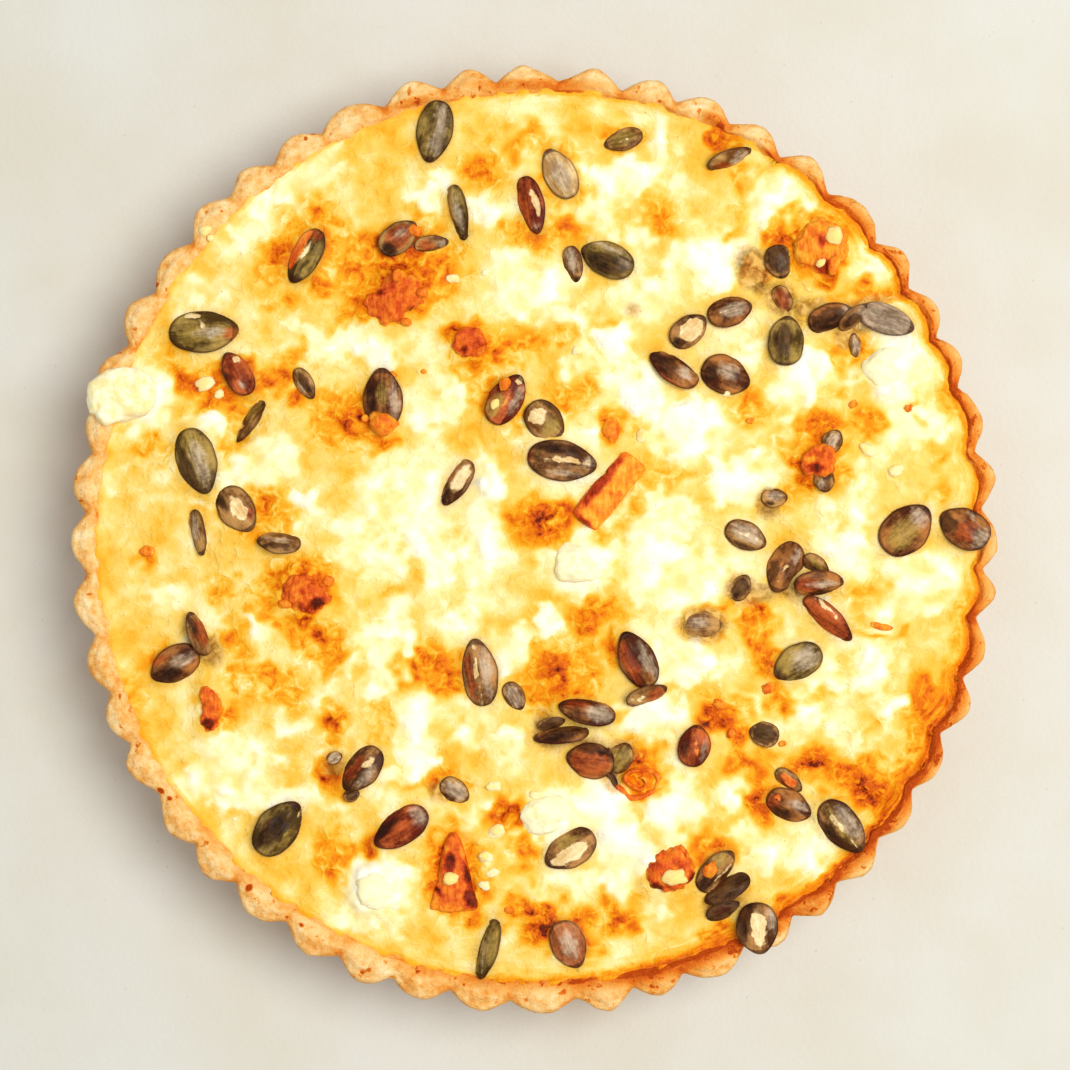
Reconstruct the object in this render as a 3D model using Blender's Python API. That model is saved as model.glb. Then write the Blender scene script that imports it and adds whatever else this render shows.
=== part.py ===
"""A whole baked quiche: fluted pastry case, set custard, squash, cheese and pumpkin seeds.

Metres, +Z up. The origin is the middle of the flat underside.
"""
import math

import bmesh
import bpy
from mathutils import Euler, Matrix, Vector, noise

MM = 0.001
GAP = 0.3 * MM                    # clearance between pieces that touch
RECESS_GAP = 1.15 * GAP           # a little more round a topping, whose faces are flat
OVERSHOOT = 1.3                   # cutters reach this many times the height of the case

# Pastry case
CASE_RADIUS = 113.5 * MM          # mean radius of the fluted rim
CASE_HEIGHT = 30.0 * MM
CASE_FLARE = 7.5 * MM             # how much wider the rim is than the base, on the radius
CASE_OVAL = -1.3 * MM             # the case is a little narrower along X than along Y
FLUTES = 48
FLUTE_DEPTH = 3.6 * MM
FLUTE_PHASE = math.radians(0.7)
FLUTE_FULLNESS = 0.6              # below 1 makes broad crests and narrow valleys
FLUTE_MEAN = 0.60                 # mean of the flute curve, so CASE_RADIUS stays the mean
POINTS_PER_FLUTE = 6
RIM_ROUND = 1.6 * MM              # rounding of the rim's outer edge
RIM_WAVE = 0.35 * MM              # the baked rim rises and dips by this much
FLOOR_THICKNESS = 4.0 * MM
SHELF_SHARE = (0.85, 0.9)         # a ring inside the rim, as shares of its radius and height

# Hollow of the case, which the custard fills
HOLLOW_RADIUS = 107.9 * MM
HOLLOW_FLARE = 6.0 * MM
HOLLOW_CENTRE = Vector((1.8 * MM, 0.8 * MM))
HOLLOW_SIDES = 96

# Custard
CUSTARD_LEVEL = 28.9 * MM
CUSTARD_CELL = 12.5 * MM          # spacing of the relief on its top
RELIEF_SHARE = 1.08               # the relief reaches this share of the hollow's radius
CUSTARD_WAVES = (                 # height, wavelength and heading of each swell
    (0.45 * MM, 74 * MM, 20),
    (0.35 * MM, 51 * MM, 95),
    (0.30 * MM, 37 * MM, 150),
)

# Pumpkin seeds
SEED_THICKNESS = 3.4 * MM
SEED_SEGMENTS = 8
SEED_RINGS = 5
SEED_TIP = 0.30                   # how much narrower the pointed half is
SEED_MIDDLE = 1.04                # makes up for the flats between the sides of its rings

# One row for each whole seed, in millimetres and degrees: x, y, heading of the pointed end,
# length, width, roll about its length, pitch of the pointed end, height of its middle above
# the custard.
SEEDS = {
    "green": (
        (-24.2, 99.2, -101, 15.4, 8.7, 0, 0, 1.3),
        (-18.4, 79.5, -78, 13.8, 8.0, 56, 0, 1.2),
        (17.8, 68.2, 157, 13.6, 8.4, 5, -3, 1.0),
        (-55.6, 69.0, -117, 14.6, 7.8, 12, 3, 0.8),
        (-80.2, 50.6, 4, 17.0, 10.0, -6, 0, 1.2),
        (-81.9, 19.1, -72, 16.6, 9.6, 6, 2, 1.5),
        (-62.2, -70.0, 51, 15.4, 10.0, 4, -3, 1.4),
        (64.0, -29.8, -149, 13.0, 8.6, -8, -4, 1.2),
        (61.2, 48.4, 84, 12.2, 8.8, 5, -3, 1.3),
        (-11.3, -99.4, -105, 15.0, 8.4, 56, 0, 1.2),
    ),
    "brown": (
        (-36.8, 34.4, 92, 15.0, 9.6, 0, 2, 1.1),
        (34.0, 41.6, 148, 13.6, 7.4, 22, 0, 1.2),
        (-87.4, -30.2, -149, 13.0, 8.6, -8, 0, 1.2),
        (12.8, -41.6, 168, 14.2, 7.0, 20, 2, 1.6),
        (6.6, -47.4, -172, 13.6, 6.6, 52, 0, 0.4),
        (13.6, -53.6, 170, 11.8, 8.6, -4, 0, 1.2),
        (25.0, -29.0, 116, 14.8, 8.8, 6, 0, 1.3),
        (61.0, -6.6, -112, 13.2, 8.4, 8, 3, 0.4),
        (69.0, -10.4, 2, 12.8, 7.0, 30, -15, 3.1),
        (62.0, -64.6, -25, 11.6, 7.6, 10, 0, 1.0),
        (47.6, 55.6, 15, 11.2, 7.4, -10, 0, 0.8),
        (72.0, 54.0, 20, 11.4, 7.4, 20, 0, 0.9),
        (85.8, 53.6, -20, 14.0, 7.6, -12, 0, 0.9),
        (46.6, 40.0, -22, 12.4, 9.2, 0, 0, 1.2),
        (90.4, 2.6, 45, 14.8, 10.8, 0, 0, 1.4),
        (104.4, 2.9, 150, 13.2, 9.6, 0, -6, 2.4),
    ),
    "red": (
        (-0.8, 81.3, -76, 14.4, 7.2, 22, 0, 1.2),
        (-6.8, 34.2, 59, 13.6, 8.2, 8, 0, 1.2),
        (-72.0, 40.4, 120, 11.6, 6.8, 12, 0, 1.0),
        (-32.4, -70.0, -147, 15.0, 8.6, 8, 0, 1.3),
        (38.9, -50.0, 80, 10.4, 7.8, 6, 0, 1.0),
        (71.4, -19.2, -42, 15.4, 7.4, 38, 0, 1.0),
    ),
    "striped": (
        (6.8, 19.2, -9, 17.0, 9.8, 0, 0, 1.4),
        (-18.8, 13.9, -121, 12.6, 7.2, 34, 0, 1.1),
        (37.6, 50.9, 40, 10.4, 7.2, 10, 0, 0.8),
        (74.8, -69.6, -53, 15.0, 9.2, 10, 4, 2.2),
        (54.1, -94.1, -82, 12.6, 10.0, 0, 3, 2.8),
        (8.7, -75.2, -148, 13.8, 8.8, 4, 0, 1.3),
        (-41.8, -55.7, -130, 13.0, 8.2, 10, 0, 1.2),
        (-13.4, -32.2, 98, 16.6, 9.0, -10, 0, 1.0),
        (44.2, -80.4, 50, 12.4, 7.6, 20, 0, 1.2),
    ),
    "pale": (
        (6.2, 89.1, 117, 13.2, 7.8, 0, 0, 0.7),
        (8.4, -98.4, -66, 12.2, 8.4, 0, 0, 0.9),
    ),
}

# One row for each rounded chunk: x, y, heading, length, width, thickness, height of its
# middle above the custard.
SQUASH_CHUNKS = (
    (33.2, -80.2, 20, 13.0, 12.0, 7.0, 0.6),
    (69.4, 71.2, 70, 16.0, 13.5, 7.0, 0.2),
    (-15.2, 48.2, 0, 9.6, 8.0, 5.0, 1.0),
    (-55.4, -13.4, -15, 12.6, 9.4, 6.0, 0.8),
    (-78.6, -41.2, 92, 11.6, 4.6, 4.6, 0.4),
    (69.3, 19.0, 15, 9.6, 6.8, 5.0, 1.4),
    (-34.0, 58.0, 25, 17.0, 12.0, 6.0, 0.0),
)
SQUASH_CUBE = (18.4, 12.1, 50, 20.0, 7.4, 7.0, -1.9)
SQUASH_WEDGE = (-19.6, -80.6, 90, 19.0, 12.0, 6.0, -1.6)
SQUASH_BEVEL = 0.8 * MM
SQUASH_LUMPS = 0.10               # how uneven a chunk is, as a share of its size

CHEESE_LUMPS = (
    (-100.6, 35.0, 10, 17.5, 14.5, 8.0, 2.6),
    (-38.4, -85.4, -35, 13.5, 11.0, 7.0, 0.6),
    (2.6, -67.4, 14, 13.0, 8.6, 6.5, 0.9),
    (10.4, -5.6, 0, 13.0, 11.0, 6.5, 0.7),
    (86.2, 42.6, 40, 14.0, 11.5, 6.5, 0.6),
)
CHEESE_LUMPINESS = 0.14

# A lump, of squash or of cheese
LUMP_BOXINESS = 0.8               # 1 is a plain ball, and less is squarer
LUMP_GRAIN = 1.4                  # how many bulges fit along a lump
LUMP_SHARE = 0.94                 # its bulges take up the rest of the stated size

PASTRY = (0.78, 0.50, 0.22, 0.75)          # colour, then roughness
CUSTARD = (0.97, 0.76, 0.25, 0.45)
SQUASH = (0.85, 0.28, 0.03, 0.45)
CHEESE = (0.98, 0.93, 0.70, 0.55)
SEED_COLOURS = {
    "green": (0.16, 0.15, 0.06, 0.35),
    "brown": (0.13, 0.07, 0.03, 0.35),
    "red": (0.22, 0.06, 0.03, 0.35),
    "striped": (0.30, 0.20, 0.09, 0.40),
    "pale": (0.45, 0.38, 0.26, 0.40),
}


def remove_everything():
    for item in list(bpy.data.objects):
        bpy.data.objects.remove(item)


def new_collection(name):
    collection = bpy.data.collections.new(name)
    bpy.context.scene.collection.children.link(collection)
    return collection


def make_material(name, colour):
    material = bpy.data.materials.new(name)
    material.use_nodes = True
    shader = material.node_tree.nodes["Principled BSDF"]
    shader.inputs["Base Color"].default_value = (*colour[:3], 1)
    shader.inputs["Roughness"].default_value = colour[3]
    shader.inputs["Metallic"].default_value = 0
    return material


def object_from(bm, name, collection, material=None):
    mesh = bpy.data.meshes.new(name)
    bmesh.ops.recalc_face_normals(bm, faces=bm.faces[:])
    bm.to_mesh(mesh)
    bm.free()
    item = bpy.data.objects.new(name, mesh)
    collection.objects.link(item)
    if material:
        mesh.materials.append(material)
    return item


def as_cutter(item):
    item.hide_render = True
    item.display_type = "WIRE"
    return item


def cut(target, cutter, operation="DIFFERENCE"):
    modifier = target.modifiers.new(cutter.name, "BOOLEAN")
    modifier.operation = operation
    modifier.solver = "EXACT"
    modifier.object = cutter


def custard_height(x, y):
    """Height of the custard's top: a level with three crossing swells."""
    height = CUSTARD_LEVEL
    for swell, wavelength, heading in CUSTARD_WAVES:
        along = x * math.cos(math.radians(heading)) + y * math.sin(math.radians(heading))
        height += swell * math.sin(along * math.tau / wavelength)
    return height


def rim_radius(angle):
    """Outline of the rim: broad round flutes with narrow valleys, on a slightly oval circle."""
    crest = (1 + math.cos(FLUTES * (angle - FLUTE_PHASE))) / 2
    flute = FLUTE_DEPTH * (crest ** FLUTE_FULLNESS - FLUTE_MEAN)
    return CASE_RADIUS + CASE_OVAL * math.cos(2 * angle) + flute


def case_ring(bm, height_share, inset):
    """A ring of points round the case at a share of its height, drawn in by inset."""
    count = FLUTES * POINTS_PER_FLUTE
    ring = []
    for index in range(count):
        angle = FLUTE_PHASE + math.tau * index / count
        radius = rim_radius(angle) - CASE_FLARE * (1 - height_share) - inset
        wave = RIM_WAVE * (math.sin(3 * angle + 1.0) + math.sin(7 * angle)) / 2
        z = height_share * (CASE_HEIGHT - RIM_WAVE + wave)
        ring.append(bm.verts.new((radius * math.cos(angle), radius * math.sin(angle), z)))
    return ring


def bridge(bm, lower, upper):
    count = len(lower)
    for index in range(count):
        after = (index + 1) % count
        bm.faces.new((lower[index], lower[after], upper[after], upper[index]))


def hollow_plug(name, collection, shrink, top):
    """A tapered disc with the shape of the case's hollow, drawn in by shrink."""
    bottom = FLOOR_THICKNESS + shrink
    slope = HOLLOW_FLARE / (CASE_HEIGHT - FLOOR_THICKNESS)
    lower_radius = HOLLOW_RADIUS - HOLLOW_FLARE - shrink
    upper_radius = lower_radius + slope * (top - bottom)
    bm = bmesh.new()
    place = Matrix.Translation((HOLLOW_CENTRE.x, HOLLOW_CENTRE.y, (bottom + top) / 2))
    bmesh.ops.create_cone(
        bm, cap_ends=True, segments=HOLLOW_SIDES,
        radius1=lower_radius, radius2=upper_radius, depth=top - bottom, matrix=place,
    )
    return object_from(bm, name, collection)


def make_case(collection, cutters):
    """The pastry: a fluted, flared block with its hollow cut out."""
    bm = bmesh.new()
    base = case_ring(bm, 0, 0)
    shoulder = case_ring(bm, 1 - RIM_ROUND / CASE_HEIGHT, 0)
    crest = case_ring(bm, 1, RIM_ROUND)
    bridge(bm, base, shoulder)
    bridge(bm, shoulder, crest)
    bm.faces.new(base)
    inwards, down = SHELF_SHARE
    middle = [
        bm.verts.new((v.co.x * inwards, v.co.y * inwards, CASE_HEIGHT * down)) for v in crest
    ]
    bridge(bm, crest, middle)
    bm.faces.new(middle)
    case = object_from(bm, "crust", collection, make_material("crust", PASTRY))
    cut(case, as_cutter(hollow_plug("hollow", cutters, 0, CASE_HEIGHT * OVERSHOOT)))
    return case


def relief_block(collection):
    """A block whose top follows the custard's swells, wider than the case."""
    cells = 2 * round(HOLLOW_RADIUS * RELIEF_SHARE / CUSTARD_CELL)
    bm = bmesh.new()
    half = cells * CUSTARD_CELL / 2
    grid = bmesh.ops.create_grid(bm, x_segments=cells, y_segments=cells, size=half)
    for vertex in grid["verts"]:
        vertex.co.z = custard_height(vertex.co.x, vertex.co.y)
    grown = bmesh.ops.extrude_face_region(bm, geom=bm.faces[:])
    for vertex in grown["geom"]:
        if isinstance(vertex, bmesh.types.BMVert):
            vertex.co.z = -CASE_HEIGHT
    bottom = [f for f in bm.faces if f.calc_center_median().z < 0 and abs(f.normal.z) > 0.9]
    bmesh.ops.dissolve_faces(bm, faces=bottom)
    return object_from(bm, "custard_top", collection)


def make_custard(collection, cutters):
    """The set filling: fills the hollow up to its gently swelling top."""
    custard = hollow_plug("custard", collection, GAP, CASE_HEIGHT * OVERSHOOT)
    custard.data.materials.append(make_material("custard", CUSTARD))
    cut(custard, as_cutter(relief_block(cutters)), "INTERSECT")
    return custard


def seat(item, x, y, heading, roll, pitch, lift):
    """Lay a piece on the custard: lift is the height of its middle above the surface."""
    turn = Matrix.Rotation(math.radians(heading), 3, "Z")
    turn = turn @ Euler((math.radians(roll), -math.radians(pitch), 0)).to_matrix()
    item.rotation_euler = turn.to_euler()
    item.location = (x * MM, y * MM, custard_height(x * MM, y * MM) + lift * MM)


def seed_body(length, width, grow):
    """A flattened teardrop along X, its pointed end at +X, larger by grow all over."""
    bm = bmesh.new()
    upright = Matrix.Rotation(math.pi / 2, 4, "Y")
    bmesh.ops.create_uvsphere(
        bm, u_segments=SEED_SEGMENTS, v_segments=SEED_RINGS, radius=1, matrix=upright,
    )
    for vertex in bm.verts:
        along, across, up = vertex.co
        narrow = SEED_MIDDLE - SEED_TIP * max(along, 0) ** 1.5
        vertex.co.x = along * (length / 2 + grow)
        vertex.co.y = across * narrow * (width / 2 + grow)
        vertex.co.z = up * narrow * (SEED_THICKNESS / 2 + grow)
    return bm


def lump_body(length, width, thickness, unevenness, seed, grow):
    """An uneven rounded chunk, larger by grow all over."""
    bm = bmesh.new()
    bmesh.ops.create_icosphere(bm, subdivisions=2, radius=1)
    offset = Vector((seed * 3.7, seed * 1.3, 0))
    for vertex in bm.verts:
        bulge = 1 + unevenness * 2 * noise.noise(vertex.co * LUMP_GRAIN + offset)
        boxy = Vector([math.copysign(abs(c) ** LUMP_BOXINESS, c) for c in vertex.co])
        boxy *= bulge * LUMP_SHARE / 2
        vertex.co.x = boxy.x * length
        vertex.co.y = boxy.y * width
        vertex.co.z = boxy.z * thickness
        vertex.co += vertex.co.normalized() * grow
    return bm


def block_body(length, width, thickness, grow, far_end=1.0):
    """A cut block along X; far_end narrows its +X face into a wedge."""
    bm = bmesh.new()
    bmesh.ops.create_cube(bm, size=1)
    for vertex in bm.verts:
        narrow = far_end if vertex.co.x > 0 else 1.0
        vertex.co.x *= length + 2 * grow
        vertex.co.y *= width * narrow + 2 * grow
        vertex.co.z *= thickness + 2 * grow
    bmesh.ops.bevel(
        bm, geom=bm.edges[:], offset=SQUASH_BEVEL, segments=1, profile=0.5, affect="EDGES",
    )
    return bm


def add_topping(name, body, size, place, material, group, hosts):
    """One topping and the matching recesses in the pieces that hold it."""
    collection, cutters = group
    item = object_from(body(*size, 0), name, collection, material)
    seat(item, *place)
    cutter = as_cutter(object_from(body(*size, RECESS_GAP), name + "_recess", cutters))
    seat(cutter, *place)
    for host in hosts:
        cut(host, cutter)


def make_seeds(group, case, custard):
    for kind, rows in SEEDS.items():
        material = make_material("seed_" + kind, SEED_COLOURS[kind])
        for number, row in enumerate(rows, 1):
            x, y, heading, length, width, roll, pitch, lift = row
            hosts = [custard]
            if math.hypot(x, y) + length / 2 > (HOLLOW_RADIUS - 2 * MM) / MM:
                hosts.append(case)
            add_topping(
                f"seed_{kind}_{number:02d}", seed_body, (length * MM, width * MM),
                (x, y, heading, roll, pitch, lift), material, group, hosts,
            )


def make_squash(group, custard):
    material = make_material("squash", SQUASH)
    for number, row in enumerate(SQUASH_CHUNKS, 1):
        x, y, heading, length, width, thickness, lift = row
        size = (length * MM, width * MM, thickness * MM, SQUASH_LUMPS, number)
        add_topping(
            f"squash_{number}", lump_body, size, (x, y, heading, 0, 0, lift),
            material, group, [custard],
        )
    for name, row, far_end in (("squash_cube", SQUASH_CUBE, 1.0), ("squash_wedge", SQUASH_WEDGE, 0.2)):
        x, y, heading, length, width, thickness, lift = row

        def body(long, wide, thick, grow, share=far_end):
            return block_body(long, wide, thick, grow, share)

        size = (length * MM, width * MM, thickness * MM)
        add_topping(name, body, size, (x, y, heading, 0, 0, lift), material, group, [custard])


def make_cheese(group, case, custard):
    material = make_material("cheese", CHEESE)
    for number, row in enumerate(CHEESE_LUMPS, 1):
        x, y, heading, length, width, thickness, lift = row
        size = (length * MM, width * MM, thickness * MM, CHEESE_LUMPINESS, 20 + number)
        hosts = [custard]
        if math.hypot(x, y) + length / 2 > HOLLOW_RADIUS / MM:
            hosts.append(case)
        add_topping(
            f"cheese_{number}", lump_body, size, (x, y, heading, 0, 0, lift),
            material, group, hosts,
        )


def build():
    remove_everything()
    collection = new_collection("quiche")
    cutters = new_collection("cutters")
    group = (collection, cutters)
    case = make_case(collection, cutters)
    custard = make_custard(collection, cutters)
    make_seeds(group, case, custard)
    make_squash(group, custard)
    make_cheese(group, case, custard)


build()
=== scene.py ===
import itertools
import math

import bmesh
import bpy
import numpy as np
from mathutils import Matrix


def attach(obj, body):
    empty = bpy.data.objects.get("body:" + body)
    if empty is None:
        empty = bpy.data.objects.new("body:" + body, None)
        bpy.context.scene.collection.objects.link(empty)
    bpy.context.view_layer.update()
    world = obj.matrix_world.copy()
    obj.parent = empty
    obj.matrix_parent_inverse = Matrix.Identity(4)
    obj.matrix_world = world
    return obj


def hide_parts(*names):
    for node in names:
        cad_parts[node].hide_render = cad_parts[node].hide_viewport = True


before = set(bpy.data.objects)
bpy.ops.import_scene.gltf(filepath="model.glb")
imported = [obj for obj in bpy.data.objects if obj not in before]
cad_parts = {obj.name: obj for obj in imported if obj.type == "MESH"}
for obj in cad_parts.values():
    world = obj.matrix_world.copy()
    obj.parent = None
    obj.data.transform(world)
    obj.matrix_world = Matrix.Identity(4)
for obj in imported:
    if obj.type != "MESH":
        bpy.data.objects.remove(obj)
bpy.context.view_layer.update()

# Pastry case
# Shortcrust, rolled out, pressed into a fluted tin, filled and baked until gold. The trimmed
# rim has round lobes with narrow valleys between them. It is paler on the lobes and browned
# at its thin outer edge and along the line where the filling has pulled away from it.
MM = 0.001                        # lengths below are in mm, and meshes are in metres
CASE_RADIUS = 113.5               # mean radius of the rim
CASE_HEIGHT = 30.0
CASE_FLARE = 7.5                  # how much wider the rim is than the base, on the radius
CASE_OVAL = -1.3                  # the case is a little narrower along X than along Y
FLUTES = 48
FLUTE_DEPTH = 3.6
FLUTE_PHASE = math.radians(0.7)
FLUTE_FULLNESS = 0.6              # below 1 makes broad crests and narrow valleys
FLUTE_MEAN = 0.60
POINTS_PER_FLUTE = 24
HOLLOW_RADIUS = 107.9             # the hollow that the filling takes up
HOLLOW_FLARE = 6.0
HOLLOW_X = 1.8
HOLLOW_Y = 0.8
FLOOR_THICKNESS = 4.0
EDGE_ROUND = 2.0                  # rounding of the rim's outer edge
RIM_LEAST = 3.2                   # the rim is nowhere narrower than this
FOOT_ROUND = 1.0
WALL_ROWS = 30
RIM_ROWS = 16
RIM_SAG = 0.7                     # how far the rim drops where it meets the filling
INNER_WALL = ((0.8, 0.4), (1.8, 1.0), (3.2, 1.5), (5.0, 2.0))   # its drops and draws below that
BASE_PLAIN = 60.0                 # the base is smooth within this radius
FAR_OUTSIDE = -6.0                # what a point far outside every patch is given, in mm
FOOD_SHINE = 0.08                 # everything here is duller than glass or water
TOASTED_ARCS = (                  # where the oven browned the rim most: angle, width, strength
    (38, 16, 0.75), (10, 20, 0.95), (-22, 14, 1.2), (-42, 12, 1.25), (86, 12, 0.5),
    (-66, 16, 1.35), (-90, 16, 0.55), (-125, 25, 0.25), (55, 12, 0.4),
)
# A patch is x, y, its two half sizes and, where it is turned, its turn in degrees.
SPILLS = (                        # filling that ran over the rim and baked on, as patches
    (66, -90, 5.5, 2, 35), (59, -94, 2.5, 1.6, 30), (0, 110.6, 14, 1.3), (-30, 106, 5, 1.2, 16),
    (44, 101.5, 4, 2, -25), (92, 60, 4, 1.5, -60), (107, 21, 5, 1.6, -80),
)
BURNT_SPECKS = (                  # specks burnt nearly black on the rim, as patches
    (-83.6, 61.6, 0.9, 0.8), (-92.1, 62, 0.9, 0.7, 20), (-53.7, 99.4, 1.1, 0.9, 30),
    (-55.5, 97.6, 0.6, 0.6), (-69.2, -84.4, 1.1, 0.8, 40), (-90.7, -60.9, 1, 0.7, -40),
    (-88.6, -62.8, 0.7, 0.6), (-56.5, -93.5, 0.7, 0.6), (45.2, 100.4, 1, 0.9), (-94.8, 60.4, 0.8, 0.7),
)


def lattice(points, seed):
    """Smooth value noise on a unit lattice, from -1 to 1, hashed from each cell's corners."""
    cell = np.floor(points).astype(np.int64)
    share = points - cell
    share = share * share * (3 - 2 * share)
    total = np.zeros(len(points))
    for corner in itertools.product((0, 1), repeat=3):
        key = cell + np.array(corner)
        code = key[:, 0] * 73856093 ^ key[:, 1] * 19349663 ^ key[:, 2] * 83492791
        code = (code ^ seed * 668265263) & 0xFFFFFFFF
        code = (code ^ code >> 15) * 2246822519 & 0xFFFFFFFF
        code = (code ^ code >> 13) * 3266489917 & 0xFFFFFFFF
        weight = np.prod(np.where(corner, share, 1 - share), axis=1)
        total += weight * ((code >> 16) / 32767.5 - 1)
    return total


def rough(points, size, seed, octaves=3, gain=0.5):
    """Layered noise whose largest bumps are about size mm apart."""
    total = 0
    for octave in range(octaves):
        total = total + gain ** octave * lattice(points / size * 2 ** octave, seed + 7 * octave)
    return total


def soft_step(value, low, high):
    share = np.clip((value - low) / (high - low), 0, 1)
    return share * share * (3 - 2 * share)


def colour(red, green, blue):
    """A screen colour, 0 to 255, as the linear values that a shader takes."""
    linear = [(c / 255 / 12.92) if c < 10.5 else ((c / 255 + 0.055) / 1.055) ** 2.4
              for c in (red, green, blue)]
    return (*linear, 1.0)


class Wire:
    """A socket in a material's nodes. Arithmetic on wires adds Math nodes."""

    def __init__(self, tree, socket=None):
        self.tree = tree
        self.socket = socket

    def node(self, kind, settings, inputs, output=0):
        """Add a node: first its settings, then the values or wires of its sockets."""
        made = self.tree.nodes.new(kind)
        for label, value in settings.items():
            setattr(made, label, value)
        for label, value in inputs.items():
            if isinstance(value, Wire):
                self.tree.links.new(value.socket, made.inputs[label])
            else:
                made.inputs[label].default_value = value
        return Wire(self.tree, made.outputs[output])

    def maths(self, operation, first, second):
        return self.node("ShaderNodeMath", {"operation": operation}, {0: first, 1: second})

    def __add__(self, other):
        return self.maths("ADD", self, other)

    def __sub__(self, other):
        return self.maths("SUBTRACT", self, other)

    def __mul__(self, other):
        return self.maths("MULTIPLY", self, other)

    def __rsub__(self, other):
        return self.maths("SUBTRACT", other, self)

    __radd__ = __add__
    __rmul__ = __mul__

    def most(self, other):
        return self.maths("MAXIMUM", self, other)

    def between(self, low, high):
        """A smooth rise from 0 at low to 1 at high."""
        return self.node("ShaderNodeMapRange", {"interpolation_type": "SMOOTHSTEP"},
                         {"Value": self, "From Min": low, "From Max": high})

    def tint(self, under, over):
        """The colour over laid on the colour under, as strongly as this wire says."""
        return self.node("ShaderNodeMix", {"data_type": "RGBA"}, {0: self, 6: under, 7: over}, 2)

    def toward(self, goal, share):
        """This value moved toward a goal by a share."""
        return self + (goal - self) * share

    def ramp(self, *stops):
        """A colour for each level; a stop is its level and a screen colour, lowest level first."""
        made = self.node("ShaderNodeValToRGB", {}, {"Fac": self})
        elements = made.socket.node.color_ramp.elements
        for level, *shade in stops[1:-1]:
            elements.new(level).color = colour(*shade)
        for end, (level, *shade) in ((elements[0], stops[0]), (elements[-1], stops[-1])):
            end.position = level
            end.color = colour(*shade)
        return made

    def held(self, label):
        """A value kept on the mesh's points."""
        return self.node("ShaderNodeAttribute", {"attribute_name": label}, {}, "Fac")

    def place(self):
        return self.node("ShaderNodeTexCoord", {}, {}, "Object")

    def grain(self, size, detail=3.0, roughness=0.5, vector=None, twist=0.0):
        """Noise with bumps about size mm across, 0 to 1 with 0.5 in the middle."""
        return self.node("ShaderNodeTexNoise", {}, {
            "Vector": vector or self.place(), "Scale": 1 / (size * MM), "Detail": detail,
            "Roughness": roughness, "Distortion": twist})

    def cells(self, size, vector=None):
        """Distance from the middles of cells about size mm across."""
        return self.node("ShaderNodeTexVoronoi", {},
                         {"Vector": vector or self.place(), "Scale": 1 / (size * MM)})


def new_material(name, **fixed):
    """A Principled material, the start of its wires, and its shader; fixed sets plain sockets."""
    material = bpy.data.materials.new(name)
    material.use_nodes = True
    shader = material.node_tree.nodes["Principled BSDF"]
    shader.inputs["Specular IOR Level"].default_value = FOOD_SHINE
    for label, value in fixed.items():
        shader.inputs[label.replace("_", " ").title()].default_value = value
    return material, Wire(material.node_tree), shader


def finish_with(wire, shader, base, roughness, height, depth):
    """Wire up the base colour, the roughness, and a bump whose full height is depth mm."""
    bump = wire.node("ShaderNodeBump", {}, {"Height": height, "Distance": depth * MM})
    for label, value in (("Base Color", base), ("Roughness", roughness), ("Normal", bump)):
        wire.tree.links.new(value.socket, shader.inputs[label])


def add_object(name, data):
    item = bpy.data.objects.new(name, data)
    bpy.context.scene.collection.objects.link(item)
    return item


def make_piece(name, points, faces, values, material, nodes=()):
    """One shown piece: its mesh, its values on the points, and what it stands for."""
    mesh = bpy.data.meshes.new(name)
    mesh.from_pydata((points * MM).tolist(), [], faces)
    for label, data in values.items():
        layer = mesh.attributes.new(label, "FLOAT", "POINT")
        layer.data.foreach_set("value", np.asarray(data, np.float32).ravel())
    mesh.shade_smooth()
    mesh.materials.append(material)
    item = add_object(name, mesh)
    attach(item, "root")
    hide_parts(*nodes)
    return item


def ring_faces(rings, count, start=0):
    """Faces of a closed body of rings, each end closed by a fan to a middle point."""
    first = np.arange(count)
    after = (first + 1) % count
    quads = []
    for ring in range(rings - 1):
        low = start + ring * count
        high = low + count
        quads.append(np.stack((low + first, low + after, high + after, high + first), 1))
    ends = start + rings * count
    last = start + (rings - 1) * count
    faces = np.concatenate(quads).tolist()
    faces += np.stack((start + after, start + first, first * 0 + ends), 1).tolist()
    faces += np.stack((last + first, last + after, first * 0 + ends + 1), 1).tolist()
    return faces


def with_ends(rings):
    """Points or values of all rings in one list, with the two middle points at the end."""
    flat = rings.reshape(-1, *rings.shape[2:])
    return np.concatenate((flat, rings[:1].mean(1), rings[-1:].mean(1)))


def toasting(angle):
    """How much the rim is browned at an angle, from 0 to a little over 1."""
    total = 0.08
    for middle, width, strength in TOASTED_ARCS:
        apart = (np.degrees(angle) - middle + 180) % 360 - 180
        total = total + strength * np.exp(-(apart / width) ** 2)
    return total


def cos_sin(degrees=0):
    turn = math.radians(degrees)
    return math.cos(turn), math.sin(turn)


def on_plane(x, y):
    return np.stack((x, y, 0 * x), 1)


def depth_inside(x, y, patches):
    """Roughly how far inside the nearest patch each point is, in mm; negative outside."""
    deepest = np.full(len(x), FAR_OUTSIDE)
    for middle_x, middle_y, half_long, half_wide, *turn in patches:
        cos, sin = cos_sin(*turn)
        along = ((x - middle_x) * cos + (y - middle_y) * sin) / half_long
        aside = ((y - middle_y) * cos - (x - middle_x) * sin) / half_wide
        inside = (1 - np.hypot(along, aside)) * min(half_long, half_wide)
        deepest = np.maximum(deepest, inside)
    return deepest


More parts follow.
